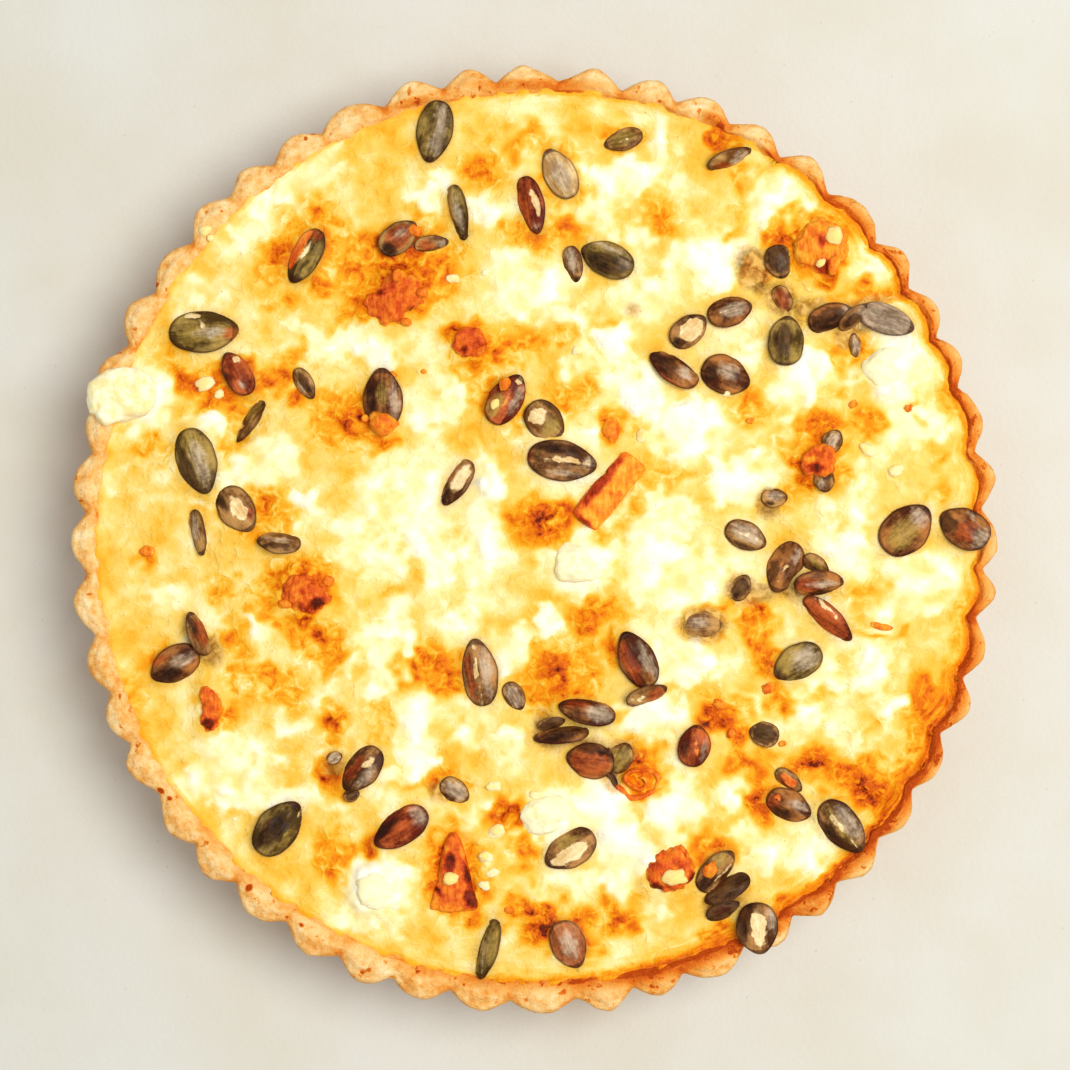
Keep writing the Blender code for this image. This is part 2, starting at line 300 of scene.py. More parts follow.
def rim_radius(angle):
    """Outline of the rim: round lobes, each a little different, on a slightly oval circle."""
    round_it = on_plane(np.cos(angle), np.sin(angle)) * CASE_RADIUS
    drift = 0.014 * rough(round_it, 19, 11, 2)
    depth = FLUTE_DEPTH * (1 + 0.20 * rough(round_it, 15, 12, 2))
    crest = (1 + np.cos(FLUTES * (angle - FLUTE_PHASE + drift))) / 2
    flute = depth * (crest ** FLUTE_FULLNESS - FLUTE_MEAN)
    uneven = 0.45 * rough(round_it, 9, 13, 2)
    return CASE_RADIUS + CASE_OVAL * np.cos(2 * angle) + flute + uneven


def hollow_radius(angle):
    """Distance from the case's middle to the hollow's edge, whose circle is off centre."""
    across = HOLLOW_X * np.sin(angle) - HOLLOW_Y * np.cos(angle)
    along = HOLLOW_X * np.cos(angle) + HOLLOW_Y * np.sin(angle)
    return along + np.sqrt(HOLLOW_RADIUS ** 2 - across ** 2)


def filling_edge(angle):
    """Where the filling meets the rim: the hollow's edge, drawn in where the rim is narrow."""
    valleys = CASE_RADIUS + CASE_OVAL * np.cos(2 * angle) - FLUTE_DEPTH * FLUTE_MEAN
    narrow = np.minimum(rim_radius(angle), valleys + 0.5 * (rim_radius(angle) - valleys))
    return np.minimum(hollow_radius(angle), narrow - RIM_LEAST)


def make_case(material):
    angle = FLUTE_PHASE + math.tau * np.arange(FLUTES * POINTS_PER_FLUTE) / (FLUTES * POINTS_PER_FLUTE)
    outer = rim_radius(angle)
    inner = filling_edge(angle)
    lobe = (outer - CASE_RADIUS - CASE_OVAL * np.cos(2 * angle)) / FLUTE_DEPTH + FLUTE_MEAN
    base = outer - CASE_FLARE
    profile = [(base * share, 0 * angle) for share in (0.05, 0.3, 0.6, 0.85, 0.95)]
    for step in range(4):
        turn = math.radians(90 * step / 3)
        out = base - FOOT_ROUND + FOOT_ROUND * math.sin(turn)
        profile.append((out, 0 * angle + FOOT_ROUND * (1 - math.cos(turn))))
    shoulder = CASE_HEIGHT - EDGE_ROUND
    rings_below = len(profile)
    for step in range(1, WALL_ROWS + 1):
        z = FOOT_ROUND + (shoulder - FOOT_ROUND) * step / WALL_ROWS
        profile.append((outer - CASE_FLARE * (1 - z / CASE_HEIGHT), 0 * angle + z))
    edge = profile[-1][0]
    for step in range(1, 7):
        turn = math.radians(90 * step / 6)
        profile.append((edge - EDGE_ROUND * (1 - math.cos(turn)),
                        0 * angle + shoulder + EDGE_ROUND * math.sin(turn)))
    start = profile[-1][0]
    for step in range(1, RIM_ROWS + 1):
        share = step / RIM_ROWS
        dome = 0.65 * np.sin(math.pi * min(share * 1.15, 1)) * (start - inner) / 6
        dome = dome + 0.9 * (lobe - 0.4) * math.sin(math.pi * share) * (1 - share)
        profile.append((start + (inner + 0.3 - start) * share,
                        CASE_HEIGHT + dome - RIM_SAG * share ** 3))
    for drop, draw in INNER_WALL:
        profile.append((inner - draw, 0 * angle + CASE_HEIGHT - RIM_SAG - drop))
    floor = inner - HOLLOW_FLARE
    profile += [(floor * share, 0 * angle + FLOOR_THICKNESS) for share in (1, 0.5, 0.05)]
    radius = np.array([row[0] for row in profile])
    z = np.array([row[1] for row in profile])
    points = np.stack((radius * np.cos(angle), radius * np.sin(angle), z), 2)
    flat = points.reshape(-1, 3)

    # The dough's surface: slow swells, small lumps and a sandy crumb, none on the flat base.
    exposed = soft_step(flat[:, 2], 0.3, 3.0) * (np.hypot(flat[:, 0], flat[:, 1]) > BASE_PLAIN)
    on_top = soft_step(flat[:, 2], shoulder - 0.5, CASE_HEIGHT)
    swell = 0.35 * rough(flat, 8, 21, 2) + 0.24 * rough(flat, 2.4, 22, 3)
    pocks = soft_step(rough(flat, 1.9, 23, 1), 0.62, 0.85) * 0.4
    relief = (swell - pocks) * exposed
    length = np.hypot(flat[:, 0], flat[:, 1])[:, None]
    outwards = flat * (1, 1, 0) / length
    flat += outwards * (relief * (1 - 0.8 * on_top))[:, None]
    flat[:, 2] += relief * on_top

    ring = np.arange(len(profile))[:, None] + 0 * radius
    edge_distance = np.where(ring >= rings_below + WALL_ROWS, outer - radius, 0)
    values = {
        "from_edge": edge_distance,
        "from_filling": radius - inner,
        "toast": toasting(angle) + 0 * radius,
        "height": z / CASE_HEIGHT,
        "pocks": pocks.reshape(radius.shape),
        "lobe": lobe + 0 * radius,
        "around": angle * CASE_RADIUS + 0 * radius,
        "spilt": depth_inside(flat[:, 0], flat[:, 1], SPILLS).reshape(radius.shape),
        "burnt": depth_inside(flat[:, 0], flat[:, 1], BURNT_SPECKS).reshape(radius.shape),
    }
    values = {label: with_ends(data) for label, data in values.items()}
    faces = ring_faces(len(profile), len(angle))
    return make_piece("pastry_case", with_ends(points), faces, values, material,
                      ["crust"])


pastry, wire, shader = new_material("baked_shortcrust")
cloudy = wire.grain(9, 2)
mottled = wire.grain(2.4, 4, 0.62)
sandy = wire.grain(0.5, 3, 0.7)
fibres = wire.grain(1000, 2, 0.5, wire.node("ShaderNodeCombineXYZ", {}, {
    "X": wire.held("around") * 0.16, "Y": wire.held("from_filling") * 0.8}), 0.8)
cloud_swing, mottle_swing, sand_swing, fibre_swing = [
    look - 0.5 for look in (cloudy, mottled, sandy, fibres)]
toast, height, lobe = wire.held("toast"), wire.held("height"), wire.held("lobe")
from_edge, from_filling = wire.held("from_edge"), wire.held("from_filling")
on_top = height.between(0.93, 0.99)
bake = 0.68 - toast * 0.07 + cloud_swing * 0.5 + mottle_swing * 0.95 + (lobe - 0.5) * 0.12
bake = bake - (1.2 - from_edge + mottle_swing * 3).between(0.0, 1.6) * on_top * 0.20
bake = bake - (0.4 - lobe).between(0, 0.4) * (4 - from_edge).between(0, 3) * 0.12
near = (2.2 + toast * 1.9 - from_filling + mottle_swing * 7).between(0, 3.2) * on_top
bake = bake - near * (0.06 + toast * 0.20)
seam = (0.6 + toast * 0.9 - from_filling + mottle_swing * 5 + fibre_swing * 4).between(0, 1.6)
bake = bake - seam * on_top * (0.20 + toast * 0.13)
smear = (1.2 - from_filling + mottle_swing * 9).between(0, 1.6) * on_top
bake = bake.toward(0.80 + mottle_swing * 0.7, smear * (0.9 - toast * 2).between(0, 0.8) * 0.45)
spilt = (wire.held("spilt") + mottle_swing * 4).between(-0.6, 0.8)
bake = bake.toward(0.36 + mottle_swing * 0.8, spilt)
scorched = (wire.grain(3.4, 4, 0.7) + toast * 0.04).between(0.625, 0.70) * on_top
bake = bake - scorched * 0.32 - wire.held("pocks").between(0.2, 0.4) * 0.4
bake = bake - (wire.held("burnt") + sand_swing * 0.8).between(-0.2, 0.3) * 0.7
wall = 0.46 + cloud_swing * 0.5 + mottle_swing * 0.5 + height * 0.10
bake = wall.toward(bake, on_top).most(0.12) + sand_swing * 0.28
dough = bake.ramp(
    (0.0, 112, 36, 6), (0.14, 186, 72, 12), (0.28, 214, 106, 26), (0.42, 228, 140, 50),
    (0.56, 236, 170, 86), (0.70, 244, 196, 124), (0.85, 250, 218, 160), (1.0, 253, 236, 196))
finish_with(wire, shader, dough, 0.62 + mottled * 0.25,
            sandy * 0.35 + mottled * 0.75 + fibres * 0.15, 0.8)
make_case(pastry)


# Filling
# Egg and cream custard with crumbled cheese stirred through it, poured into the case and
# baked until it set. It has domed over the lumps of cheese, which show as cream and white
# through its skin. The skin is yellow between them, and amber to brown where it blistered.
CUSTARD_LEVEL = 28.9
CUSTARD_WAVES = ((0.45, 74, 20), (0.35, 51, 95), (0.30, 37, 150))
GRID_CELLS = 300
CREAM = (
    (-56, 86.5, 11, 4.5, 30), (-72, 74.5, 2, 1.5), (-84, 59.5, 7.5, 2.8, 30), (-98, 34, 9, 7),
    (-79, 28.5, 4, 3), (-77, 22, 2, 6), (-65, 19, 8, 6.5, 30), (-56, 8, 4.5, 5), (-58, 51, 2.5, 1.5),
    (-42, 47.5, 12, 4, -5), (-35, 44, 3, 2), (-26, 80, 4, 5.5), (-22, 89.5, 3, 2.2),
    (-11.5, 79, 3.5, 3), (-2, 91, 2.5, 1.8), (-5, 62, 6.5, 7, 60), (-26, 33, 5, 4.5),
    (-17, 34.5, 3.5, 2.5), (-4, 42, 3, 2), (-38, 9, 7, 9), (-28, 11, 6, 8), (-27, 2, 6, 4),
    (-13, 10, 6, 11), (-45, 3, 2.5, 5), (-99.7, 14.3, 1.2, 0.8), (-88, 9, 1.5, 1.5), (-81, 8.5, 4, 1),
    (9, 93, 3, 3), (22, 88, 9, 5), (12, 79, 8, 4.5, -10), (31, 97, 2.5, 5), (36, 86, 2, 3),
    (26, 73, 3, 3), (43, 68, 8, 9, -45), (60, 82, 7, 7), (81, 66, 3.5, 4, 60), (30, 59, 8, 3),
    (6, 64, 5, 4), (7, 54, 6, 3), (21, 48, 4, 6), (12.5, 41, 3, 3), (25, 37, 8, 6), (37, 28, 9, 9),
    (53, 45, 2.5, 5), (68, 43, 4.5, 5), (88, 43, 8, 8), (64, 35, 5, 8), (50, 15, 8, 7), (28, 5, 10, 6),
    (77, 9, 4, 6), (82.5, 17, 2, 2.5), (95, 30, 7, 5), (90, 25, 5, 4), (-89, -14, 2.2, 5.5, 65),
    (-76, -17, 2, 1), (-65, -18, 5, 4, -60), (-59, -44, 4, 3, 50), (-72, -57, 12, 9), (-58, -63, 8, 3),
    (-40, -4, 7, 5), (-25, -5, 4, 7), (-13, -3, 6, 6), (-20, -19, 4, 2.5), (-36, -27, 5, 10),
    (-48, -30, 2.5, 3), (-53, -38, 1.5, 1.5), (-29, -48, 5, 11), (-35, -61, 4, 5), (-14, -44, 3.5, 5),
    (-7, -48.5, 3, 4), (-5, -28, 6, 6), (-15, -66, 4, 3, 45), (-37, -84, 7, 7), (-40, -93, 6, 3),
    (-6, -77, 3, 2, 20), (-98.5, -44, 1, 1.5), (14, -4, 5, 5), (33, -8, 14, 8, -18), (36, -30, 8, 6),
    (27, -44, 10, 5), (52, -41, 3, 4), (66, -42, 3, 6), (71, -32, 6, 5), (72, -47, 1.2, 1.8),
    (78, -6, 6, 6), (92, -12, 8, 7), (83, -30, 3, 14), (4, -68, 6, 4), (17, -67, 7, 8), (20, -76, 8, 9),
    (35, -65, 6, 9), (48, -61, 4, 4), (53, -74, 6, 6), (66, -77, 7, 4), (12, -83, 4, 2),
    (30, -91, 1, 1.5), (18, -101, 2, 1.2), (4, -86, 1, 1),
)
WHITE = (
    (-65, 80.5, 1.2, 1.2), (-98.5, 38.5, 1.8, 1.2), (-94, 31, 2.5, 3.5), (-79.5, 30, 2.2, 1.8),
    (-56, 9.5, 3, 3.5), (-49.5, 48.5, 2, 1.5), (-40, 48, 1.5, 1.2), (-27, 81, 2, 2),
    (-38, 12.5, 1.5, 2), (-28, 1.5, 3, 2.5), (-26.5, 10.5, 1, 1), (-11, 14, 2.5, 2.5), (-14, 8, 3, 4),
    (-13, 2, 3, 5), (16, 89, 1, 2), (26, 88, 3, 4), (43, 67, 3.5, 6, 30), (57, 79, 2, 3, 60),
    (2, 62, 2.5, 2.5), (21.5, 49.5, 2, 4, 110), (26, 36, 6, 4, 10), (37, 28, 6, 7), (52.5, 43, 2, 2.5),
    (68, 44, 3, 3.5), (88, 43, 5, 6), (66, 36, 3, 5), (60.5, 23, 1, 1), (48, 15, 5, 4),
    (35.5, 3.5, 1, 1.2), (13.5, 25, 2, 2), (79, 4, 2, 4), (71, 6, 1, 2), (-72, -59.5, 3, 2),
    (-66, -53.5, 1, 1), (-26, -2, 2, 3), (-13, -2, 4, 4), (-34, -24, 2.5, 6, 70), (-37.5, -37, 2, 2.5),
    (-28, -45, 2.5, 5), (-27, -55, 2.5, 2.5), (-7, -48.5, 1.3, 2.5), (-37, -84, 4.5, 5),
    (-37.5, -92.5, 1, 1), (2, -20, 3, 3), (16, -5, 2, 4, 60), (12, -10, 2, 0.8), (31, -2, 4, 3),
    (27, -6.5, 2, 2), (36, -9, 2, 1.5), (42, -13.5, 1.3, 1.5), (41, -30.5, 4, 2.5), (31, -30, 0.8, 3),
    (29, -43, 6, 3, 20), (65.5, -42, 1, 1), (77, -3, 4, 4), (98, -7, 2.5, 5, 70), (82.5, -27, 1, 3),
    (86, -43, 1.5, 5, 110), (4.5, -68, 2.5, 3), (16, -65, 4, 6, 50), (22, -74, 4, 7, 80),
    (34, -65, 3, 7, 80), (48.5, -63, 1.2, 2), (67, -78, 3, 2),
)
AMBER = (
    (-57, 70, 13, 8, 45), (-49, 75, 2.5, 4), (-33, 66, 17, 13), (-13, 90, 7, 5, -30),
    (-8, 95, 10, 2.5, 5), (-4, 97, 4, 3), (-4, 74, 6, 4), (-88, 44, 3, 5), (-78, 38, 10, 6, -10),
    (-60, 43, 5, 4), (-71, 29, 8, 5, -120), (-94, 22, 7, 3, 8), (-46, 29, 8, 8), (-9, 47, 13, 6, -5),
    (-17, 41, 3, 2.5), (-7, 33, 6, 8, 60), (-68, 7, 9, 6), (-93, 5, 1.5, 1.5), (-107, 11, 1.5, 4),
    (-104.5, 24, 1.5, 6), (22, 97.5, 6, 4, 15), (5, 88, 5, 8), (5, 73, 8, 3, -5), (30, 77.5, 7, 3, -30),
    (47, 75, 2.5, 3, 60), (49, 85, 1.5, 8), (67, 72, 10, 9), (80, 60, 12, 2.5, 8), (76, 45, 4, 5, -60),
    (52, 32, 5, 6, 100), (77, 37, 3, 1.5), (80, 28, 3, 6), (93, 36, 1.5, 1.5), (93.5, 28.5, 1, 1),
    (70, 22, 7, 11), (63, 11, 7, 3, 20), (34, 15, 2.5, 4, 110), (10, 34, 5, 3, 40), (7, 48, 3, 4),
    (0, 45, 3, 3), (19, 54, 3, 1.5, 30), (19, 27, 4.5, 5), (26, 25, 1.5, 1.5), (2, 4, 8.5, 6.5),
    (98.5, 12, 2.5, 4), (-94, -2.7, 3, 3), (-77, -11, 4, 3), (-58, -12, 12, 9), (-52, -25, 7, 6, -50),
    (-34, -13, 4, 2, 40), (-73, -24, 7, 4), (-66, -35, 10, 6, -20), (-76, -42, 6, 5), (-94, -29, 4, 4),
    (-96, -37, 2, 3), (-50, -44, 6, 5, 40), (-36.5, -44, 1.5, 4), (-49, -57, 5, 6), (-24, -32, 9, 7),
    (-28, -61, 1.5, 4, 100), (-21, -61, 6, 4, -35), (-49, -77, 4, 6), (-40, -74, 5, 5),
    (-20, -82, 9, 12), (-16, -92, 4, 4.5), (-5, -66, 6, 8, 110), (-3, -77, 4.5, 5), (-2, -90, 6.5, 4.5),
    (14, -18, 9, 6), (6, -33, 9, 10), (18, -27, 3.5, 4.5), (22, -41, 3, 2), (43, -20, 6, 4.5),
    (55, -22, 5, 9), (79, -14, 4, 3), (83, -21, 6, 1.5, -12), (57, -30, 4, 5), (58, -37, 5, 4),
    (46, -42, 7, 6), (52, -54, 7, 4), (60, -40, 3, 3), (70, -39, 1.5, 4, 110), (76, -34, 1.5, 1),
    (81, -46, 2, 3), (67, -54, 6, 5), (74, -57, 8, 4, -25), (82, -60, 9, 7, -40), (56, -62, 5.5, 6),
    (27, -57, 7, 6.5), (42, -77, 6, 3.5), (20, -91, 6, 7), (4, -93, 9.5, 6.5, -20),
    (11, -98, 6, 3.5, -30), (97, -40, 8, 8), (106, -20, 3.2, 14), (95, -50, 6, 10),
    (90, -63, 5, 6, -40), (45, -95, 5, 3), (63, -90, 4, 3), (99, 20, 2, 4), (25.5, 13, 8, 2.6, 50),
    (17.5, 1.5, 3, 1.6, 20),
)
BROWNED = (
    (-60, 69, 4.5, 3.5, 45), (-52, 62, 3, 2.5), (-34, 72, 4.5, 5), (-33, 62, 7.5, 7),
    (-44, 56, 4, 1.5, 20), (-37, 56, 4, 3), (-27, 58, 3, 3), (-14, 91, 2.5, 2.5), (-86, 40, 2.5, 4),
    (-71, 41, 4.5, 4), (-76, 36.5, 4, 2.5), (-66, 38, 6, 2.5, 10), (-60, 42, 3.5, 2.5),
    (-57, 34, 3.5, 3), (-42, 29, 4, 4), (-37, 26, 4, 2.5), (-15.5, 48, 5.5, 4.5), (4, 74, 4, 2),
    (32, 75, 2, 1.5), (47, 96, 6, 4, 30), (62, 74, 3, 5, 60), (70, 68, 5, 5), (53, 67, 4, 4),
    (69, 75, 2, 3), (73, 78, 1.5, 1), (84, 60, 6, 1.5, 5), (80.5, 43, 1, 1), (81, 30, 1.5, 2),
    (67, 19, 4, 4), (72, 24, 2.5, 4), (19, 27, 3, 3.5), (2, 4, 6, 4), (-94, -2.7, 1.8, 1.6),
    (-55, -13, 6, 6), (-54, -29, 0.8, 1.2), (-74, -23.5, 1.2, 1.2), (-94, -29, 1.5, 1.5),
    (-49, -57, 3, 4), (-28, -29, 3, 3), (-21, -32, 3, 4), (-30, -33, 2, 2), (-40, -74, 3, 3),
    (-20, -82, 6, 9), (-16, -92, 2.5, 3), (-5, -66, 4, 6, 110), (-2, -77, 2.5, 4), (-2, -90, 5, 3),
    (14, -16, 5, 2.5, 10), (12.5, -21, 2.5, 2), (4, -34, 3, 5), (18, -27, 2, 3), (54, -18, 4, 4),
    (83, -20.5, 1.5, 1), (89, -22, 1, 0.8), (57, -30, 2.5, 4), (45, -43, 4, 4), (50, -46, 4, 2.5),
    (51, -54, 4, 2.5), (60, -40, 1.5, 1), (67, -54, 4, 4), (74, -57, 5, 2.5, -25), (80, -60, 6, 5, -40),
    (56, -62, 4, 5), (27, -57, 5, 5), (42, -77, 5, 2), (19, -90, 2.5, 4), (23, -93.5, 3, 0.8),
    (4, -93, 8, 5, -20), (11, -98, 4, 2.5, -30), (91, -62, 3, 5, -40), (45, -95, 4, 2), (62, -90, 3, 2),
    (97, -43, 5, 2, 80), (88.5, -63, 4, 2.2, 50), (-20, -74, 2, 4),
)
FANS = (                          # dark orange strings that baked on beside the rim
    (98, -43, 7.5, 2.6, 70), (94.5, -37, 6, 2.2, 110), (100, -33, 5, 1.6, 80),
    (88, -62.5, 5.5, 2.4, 50), (84, -66, 3.5, 1.4, 50), (100, 33, 5, 1.2, 110),
)
HAZE = (                          # olive-brown patches on the custard, mostly beside and between seeds
    (53.2, 66, 4.2, 5.5, 15), (60.2, 58.5, 4.6, 3.6, -50), (55, 62, 2.6, 2.6), (64, 56, 1.4, 3.6, 15),
    (81, 57, 5, 1.6, 15), (67, 57, 3, 1.4, 20), (50.3, -12, 4, 3.6), (54, -13, 4.5, 2.5),
    (19, -56, 2.6, 5, 10), (21, -52, 3.8, 3.2), (3, -46.5, 3, 4.5, 20), (76, 50, 3, 3.5),
    (41, -20.7, 6, 4.2), (62.5, -12.8, 4, 1.6, -20), (-22, -61, 4, 2.6), (-48.5, -55, 2.4, 3.4),
    (65, 57, 1.6, 4.5, 100), (24, 56, 1.6, 1.2), (79, 52, 3, 2), (-79, -27, 3, 4, 20), (57, 9, 3, 4),
    (-31, -69, 1, 1), (13, -49.5, 6, 1.5, -10), (46, -88, 5, 3, 20),
)


def swells(x, y):
    """The solid model's height of the custard's top."""
    height = CUSTARD_LEVEL
    for swell, wavelength, heading in CUSTARD_WAVES:
        along = x * math.cos(math.radians(heading)) + y * math.sin(math.radians(heading))
        height = height + swell * np.sin(along * math.tau / wavelength)
    return height


def patch_fields(x, y):
    """How far inside the cream, white, amber and browned patches each point lies."""
    flat = on_plane(x, y)
    warp = [2.6 * rough(flat, 7, 31 + k, 2) + 1.6 * rough(flat, 2.8, 33 + k, 2) for k in (0, 1)]
    bent_x, bent_y = x + warp[0], y + warp[1]
    return [depth_inside(bent_x, bent_y, rows) for rows in (CREAM, WHITE, AMBER, BROWNED)]


def seat_of(node):
    """Middle, long, wide and thin axes, and three sizes of a CAD seed; +long is its tip."""
    points = np.array([v.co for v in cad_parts[node].data.vertices]) / MM
    points = np.unique(points.round(3), axis=0)
    _, _, axes = np.linalg.svd(points - points.mean(0), full_matrices=False)
    local = (points - points.mean(0)) @ axes.T
    if (np.abs(local[:, 1]) * local[:, 0]).sum() > 0:
        axes[0] *= -1
    if axes[2, 2] < 0:
        axes[2] *= -1
    axes[1] = np.cross(axes[2], axes[0])
    local = points @ axes.T
    low, high = local.min(0), local.max(0)
    return ((low + high) / 2) @ axes, axes, high - low


def plan_oval(middle, axes, size):
    """The oval that a seed covers seen from above, as a patch row."""
    heading = math.atan2(axes[0, 1], axes[0, 0])
    long = size[0] * math.hypot(*axes[0, :2])
    wide = math.hypot(size[1] * math.hypot(*axes[1, :2]), size[2] * math.hypot(*axes[2, :2]))
    return middle[0], middle[1], long / 2, min(wide, size[1]) / 2, math.degrees(heading)


seed_nodes = sorted(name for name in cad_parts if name.startswith("seed_"))
seats = {name: seat_of(name) for name in seed_nodes}
seed_ovals = [plan_oval(*seat) for seat in seats.values()]
lump_nodes = sorted(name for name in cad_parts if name.startswith(("cheese_", "squash_")))
lump_ovals = [plan_oval(*seat_of(name)) for name in lump_nodes]
cheese_ovals = [oval for name, oval in zip(lump_nodes, lump_ovals) if name.startswith("cheese_")]
DICED = ("squash_cube", "squash_wedge")
diced_ovals = [oval for name, oval in zip(lump_nodes, lump_ovals) if name in DICED]
rounded_ovals = [oval for oval in lump_ovals if oval not in diced_ovals]
COLLAR_WIDTH = 2.4                # how far from a seed the custard starts to rise to it
COLLAR_BELOW = 0.5                # it meets the seed this far below the seed's middle
COLLAR_MOST = 1.3                 # the most that it rises to it
RIM_OVERLAP = 0.75                # it meets the rim this far below the rim's top
FILLING_LAP = 1.6                 # how far its edge runs into the rim
SKIRT = ((0.5, 1.6), (2.0, 2.6), (4.5, 3.4), (12, 5.0))         # its side's drops and draws
BED_RISE = 1.3                    # it rises this much round lumps
DICED_SINK = 0.7                  # and is this much lower under the diced pieces


def curds(x, y):
    """The small lumps of cheese under the skin, from -1 between them to 1 on top."""
    return rough(on_plane(x, y), 3.6, 41, 2)


def custard_top(x, y):
    """Height of the filling: domed over cheese, blistered where browned, low at its edge."""
    flat = on_plane(x, y)
    cream, white, amber, browned = patch_fields(x, y)
    lumps = 0.5 + 0.5 * curds(x, y)
    height = swells(x, y) + 0.35 * rough(flat, 9, 42, 2) + 0.18 * rough(flat, 2.8, 43, 3)
    height += soft_step(cream, -2.0, 3.0) * (0.40 + 1.0 * lumps)
    height += soft_step(white, -1.2, 2.2) * (0.40 + 0.6 * lumps)
    height -= soft_step(amber, -1.5, 2.0) * 0.30
    height += soft_step(browned, -1.0, 2.0) * (0.25 + 0.5 * rough(flat, 2.2, 44, 3))
    for node, oval in zip(seed_nodes, seed_ovals):
        reach = soft_step(depth_inside(x, y, [oval]), -COLLAR_WIDTH, 0.4)
        middle = seats[node][0]
        meeting = min(middle[2] - COLLAR_BELOW, swells(*middle[:2]) + COLLAR_MOST)
        height += reach * (meeting - height)
    height += BED_RISE * soft_step(depth_inside(x, y, rounded_ovals), -4.0, 0.5)
    height -= DICED_SINK * soft_step(depth_inside(x, y, diced_ovals), -1.0, 1.5)
    from_rim = filling_edge(np.arctan2(y, x)) - np.hypot(x, y)
    meeting = CASE_HEIGHT - RIM_OVERLAP + 0.65 * rough(flat, 2.8, 45, 2)
    height += (1 - soft_step(from_rim, -0.5, 3.2)) * (meeting - height)
    return height


def custard_at(x, y):
    return custard_top(np.array([x]), np.array([y]))[0]


def make_filling(material):
    side = np.linspace(-1, 1, GRID_CELLS + 1)
    square_x, square_y = [g.ravel() for g in np.meshgrid(side, side)]
    reach = np.maximum(np.abs(square_x), np.abs(square_y))
    slant = np.maximum(np.hypot(square_x, square_y), 1e-9)
    angle = np.arctan2(square_y, square_x)
    edge = np.minimum(filling_edge(angle) + FILLING_LAP, rim_radius(angle) - EDGE_ROUND - 0.4)
    out = reach / slant * edge
    x = square_x * out
    y = square_y * out
    z = custard_top(x, y)
    top = np.stack((x, y, z), 1)
    cells = GRID_CELLS + 1
    index = np.arange(cells * cells).reshape(cells, cells)
    quads = np.stack((index[:-1, :-1], index[:-1, 1:], index[1:, 1:], index[1:, :-1]), 2)
    border = np.concatenate((index[0, :-1], index[:-1, -1], index[-1, :0:-1], index[:0:-1, 0]))
    around = np.arange(len(border))
    after = (around + 1) % len(border)
    rings = []
    for drop, draw in SKIRT:
        share = 1 - draw / np.hypot(x[border], y[border])
        rings.append(np.stack((x[border] * share, y[border] * share, z[border] - drop), 1))
    floor = rings[-1] * (0.98, 0.98, 0) + (0, 0, FLOOR_THICKNESS + 0.3)
    points = np.concatenate((top, *rings, floor, [(0, 0, FLOOR_THICKNESS + 0.3)]))
    faces = quads.reshape(-1, 4).tolist()
    upper = border
    for ring in range(len(rings) + 1):
        lower = len(top) + ring * len(border) + around
        faces += np.stack((upper, lower, lower[after], upper[after]), 1).tolist()
        upper = lower
    faces += np.stack((upper[after], upper, around * 0 + len(points) - 1), 1).tolist()
    x, y = points[:, 0], points[:, 1]
    cream, white, amber, browned = patch_fields(x, y)
    angle = np.arctan2(y, x)
    flat = on_plane(x, y)
    values = {
        "cream": np.maximum(cream, depth_inside(x, y, cheese_ovals) + 2.5),
        "white": white, "amber": amber, "browned": browned,
        "tone": rough(flat, 12, 81, 2), "mottle": rough(flat, 5, 82, 2), "lumps": curds(x, y),
        # The seed value places the painted shade round each seed.
        "seed": depth_inside(x, y, seed_ovals), "haze": depth_inside(x, y, HAZE),
        "from_rim": filling_edge(angle) - np.hypot(x, y), "around": angle * CASE_RADIUS,
        "toast": toasting(angle), "fan": depth_inside(x, y, FANS),
    }
    return make_piece("filling", points, faces, values, material, ["custard"])


custard, wire, shader = new_material("set_custard")
strand = wire.grain(2.8, 3, 0.5, None, 0.6)
fine = wire.grain(0.8, 3, 0.6)
tone, mottle, lumps, cream, white, amber, browned, toast, from_rim = [wire.held(label) for label in (
    "tone", "mottle", "lumps", "cream", "white", "amber", "browned", "toast", "from_rim")]
fibres = wire.grain(1000, 2, 0.5, wire.node("ShaderNodeCombineXYZ", {}, {
    "X": wire.held("around") * 0.13, "Y": from_rim * 0.8}), 0.8)
strand_swing, fine_swing, fibre_swing = strand - 0.5, fine - 0.5, fibres - 0.5
wobble = strand_swing * 5 + fine_swing * 1.2
by_pale_rim = (14 - from_rim).between(0, 12) * (0.5 - toast).between(0, 0.4)
level = 0.71 - by_pale_rim * 0.07 + tone * 0.08 + mottle * 0.13 + strand_swing * 0.28
# Painted shade: the lump term makes the cream paler on the tops of the curds and darker in the hollows
# between them.
level = level.toward(0.87 + lumps * 0.10 + strand_swing * 0.24,
                     (cream + lumps * 0.9 + wobble * 0.35).between(-2.4, 1.5))
level = level.toward(0.50 - amber * 0.025 + mottle * 0.10 + strand_swing * 1.3 + fine_swing * 0.3,
                     (amber - lumps * 0.8 + wobble + mottle * 1.2).between(-2.2, 1.8) * 0.95)
# Painted shade: the lump term makes the white paler on the tops of the curds and darker between them.
level = level.toward(0.97 + lumps * 0.05 + fine_swing * 0.10,
                     (white + lumps * 0.6 + wobble * 0.2).between(-1.7, 1.2) * 0.95)
level = level.toward(0.28 - browned * 0.03 + mottle * 0.08 + strand_swing * 1.2 + fine_swing * 0.5,
                     (browned - lumps * 0.5 + wobble * 1.1 + mottle * 0.8).between(-1.6, 1.4) * 0.9)
crease = 1 - ((strand - 0.53) * (strand - 0.53)).between(0.00002, 0.0010)
level = level - crease * fine.between(0.40, 0.56) * (0.62 - level).most(0.0) * 0.3
fan = (wire.held("fan") + wobble + fibre_swing * 5).between(-1.5, 2.5)
level = level.toward(0.26 + fibre_swing * 0.9 + fine_swing * 0.3, fan * 0.85)
glow = (1.4 + toast * 2.0 - from_rim + wobble + fibre_swing * 6).between(0, 4)
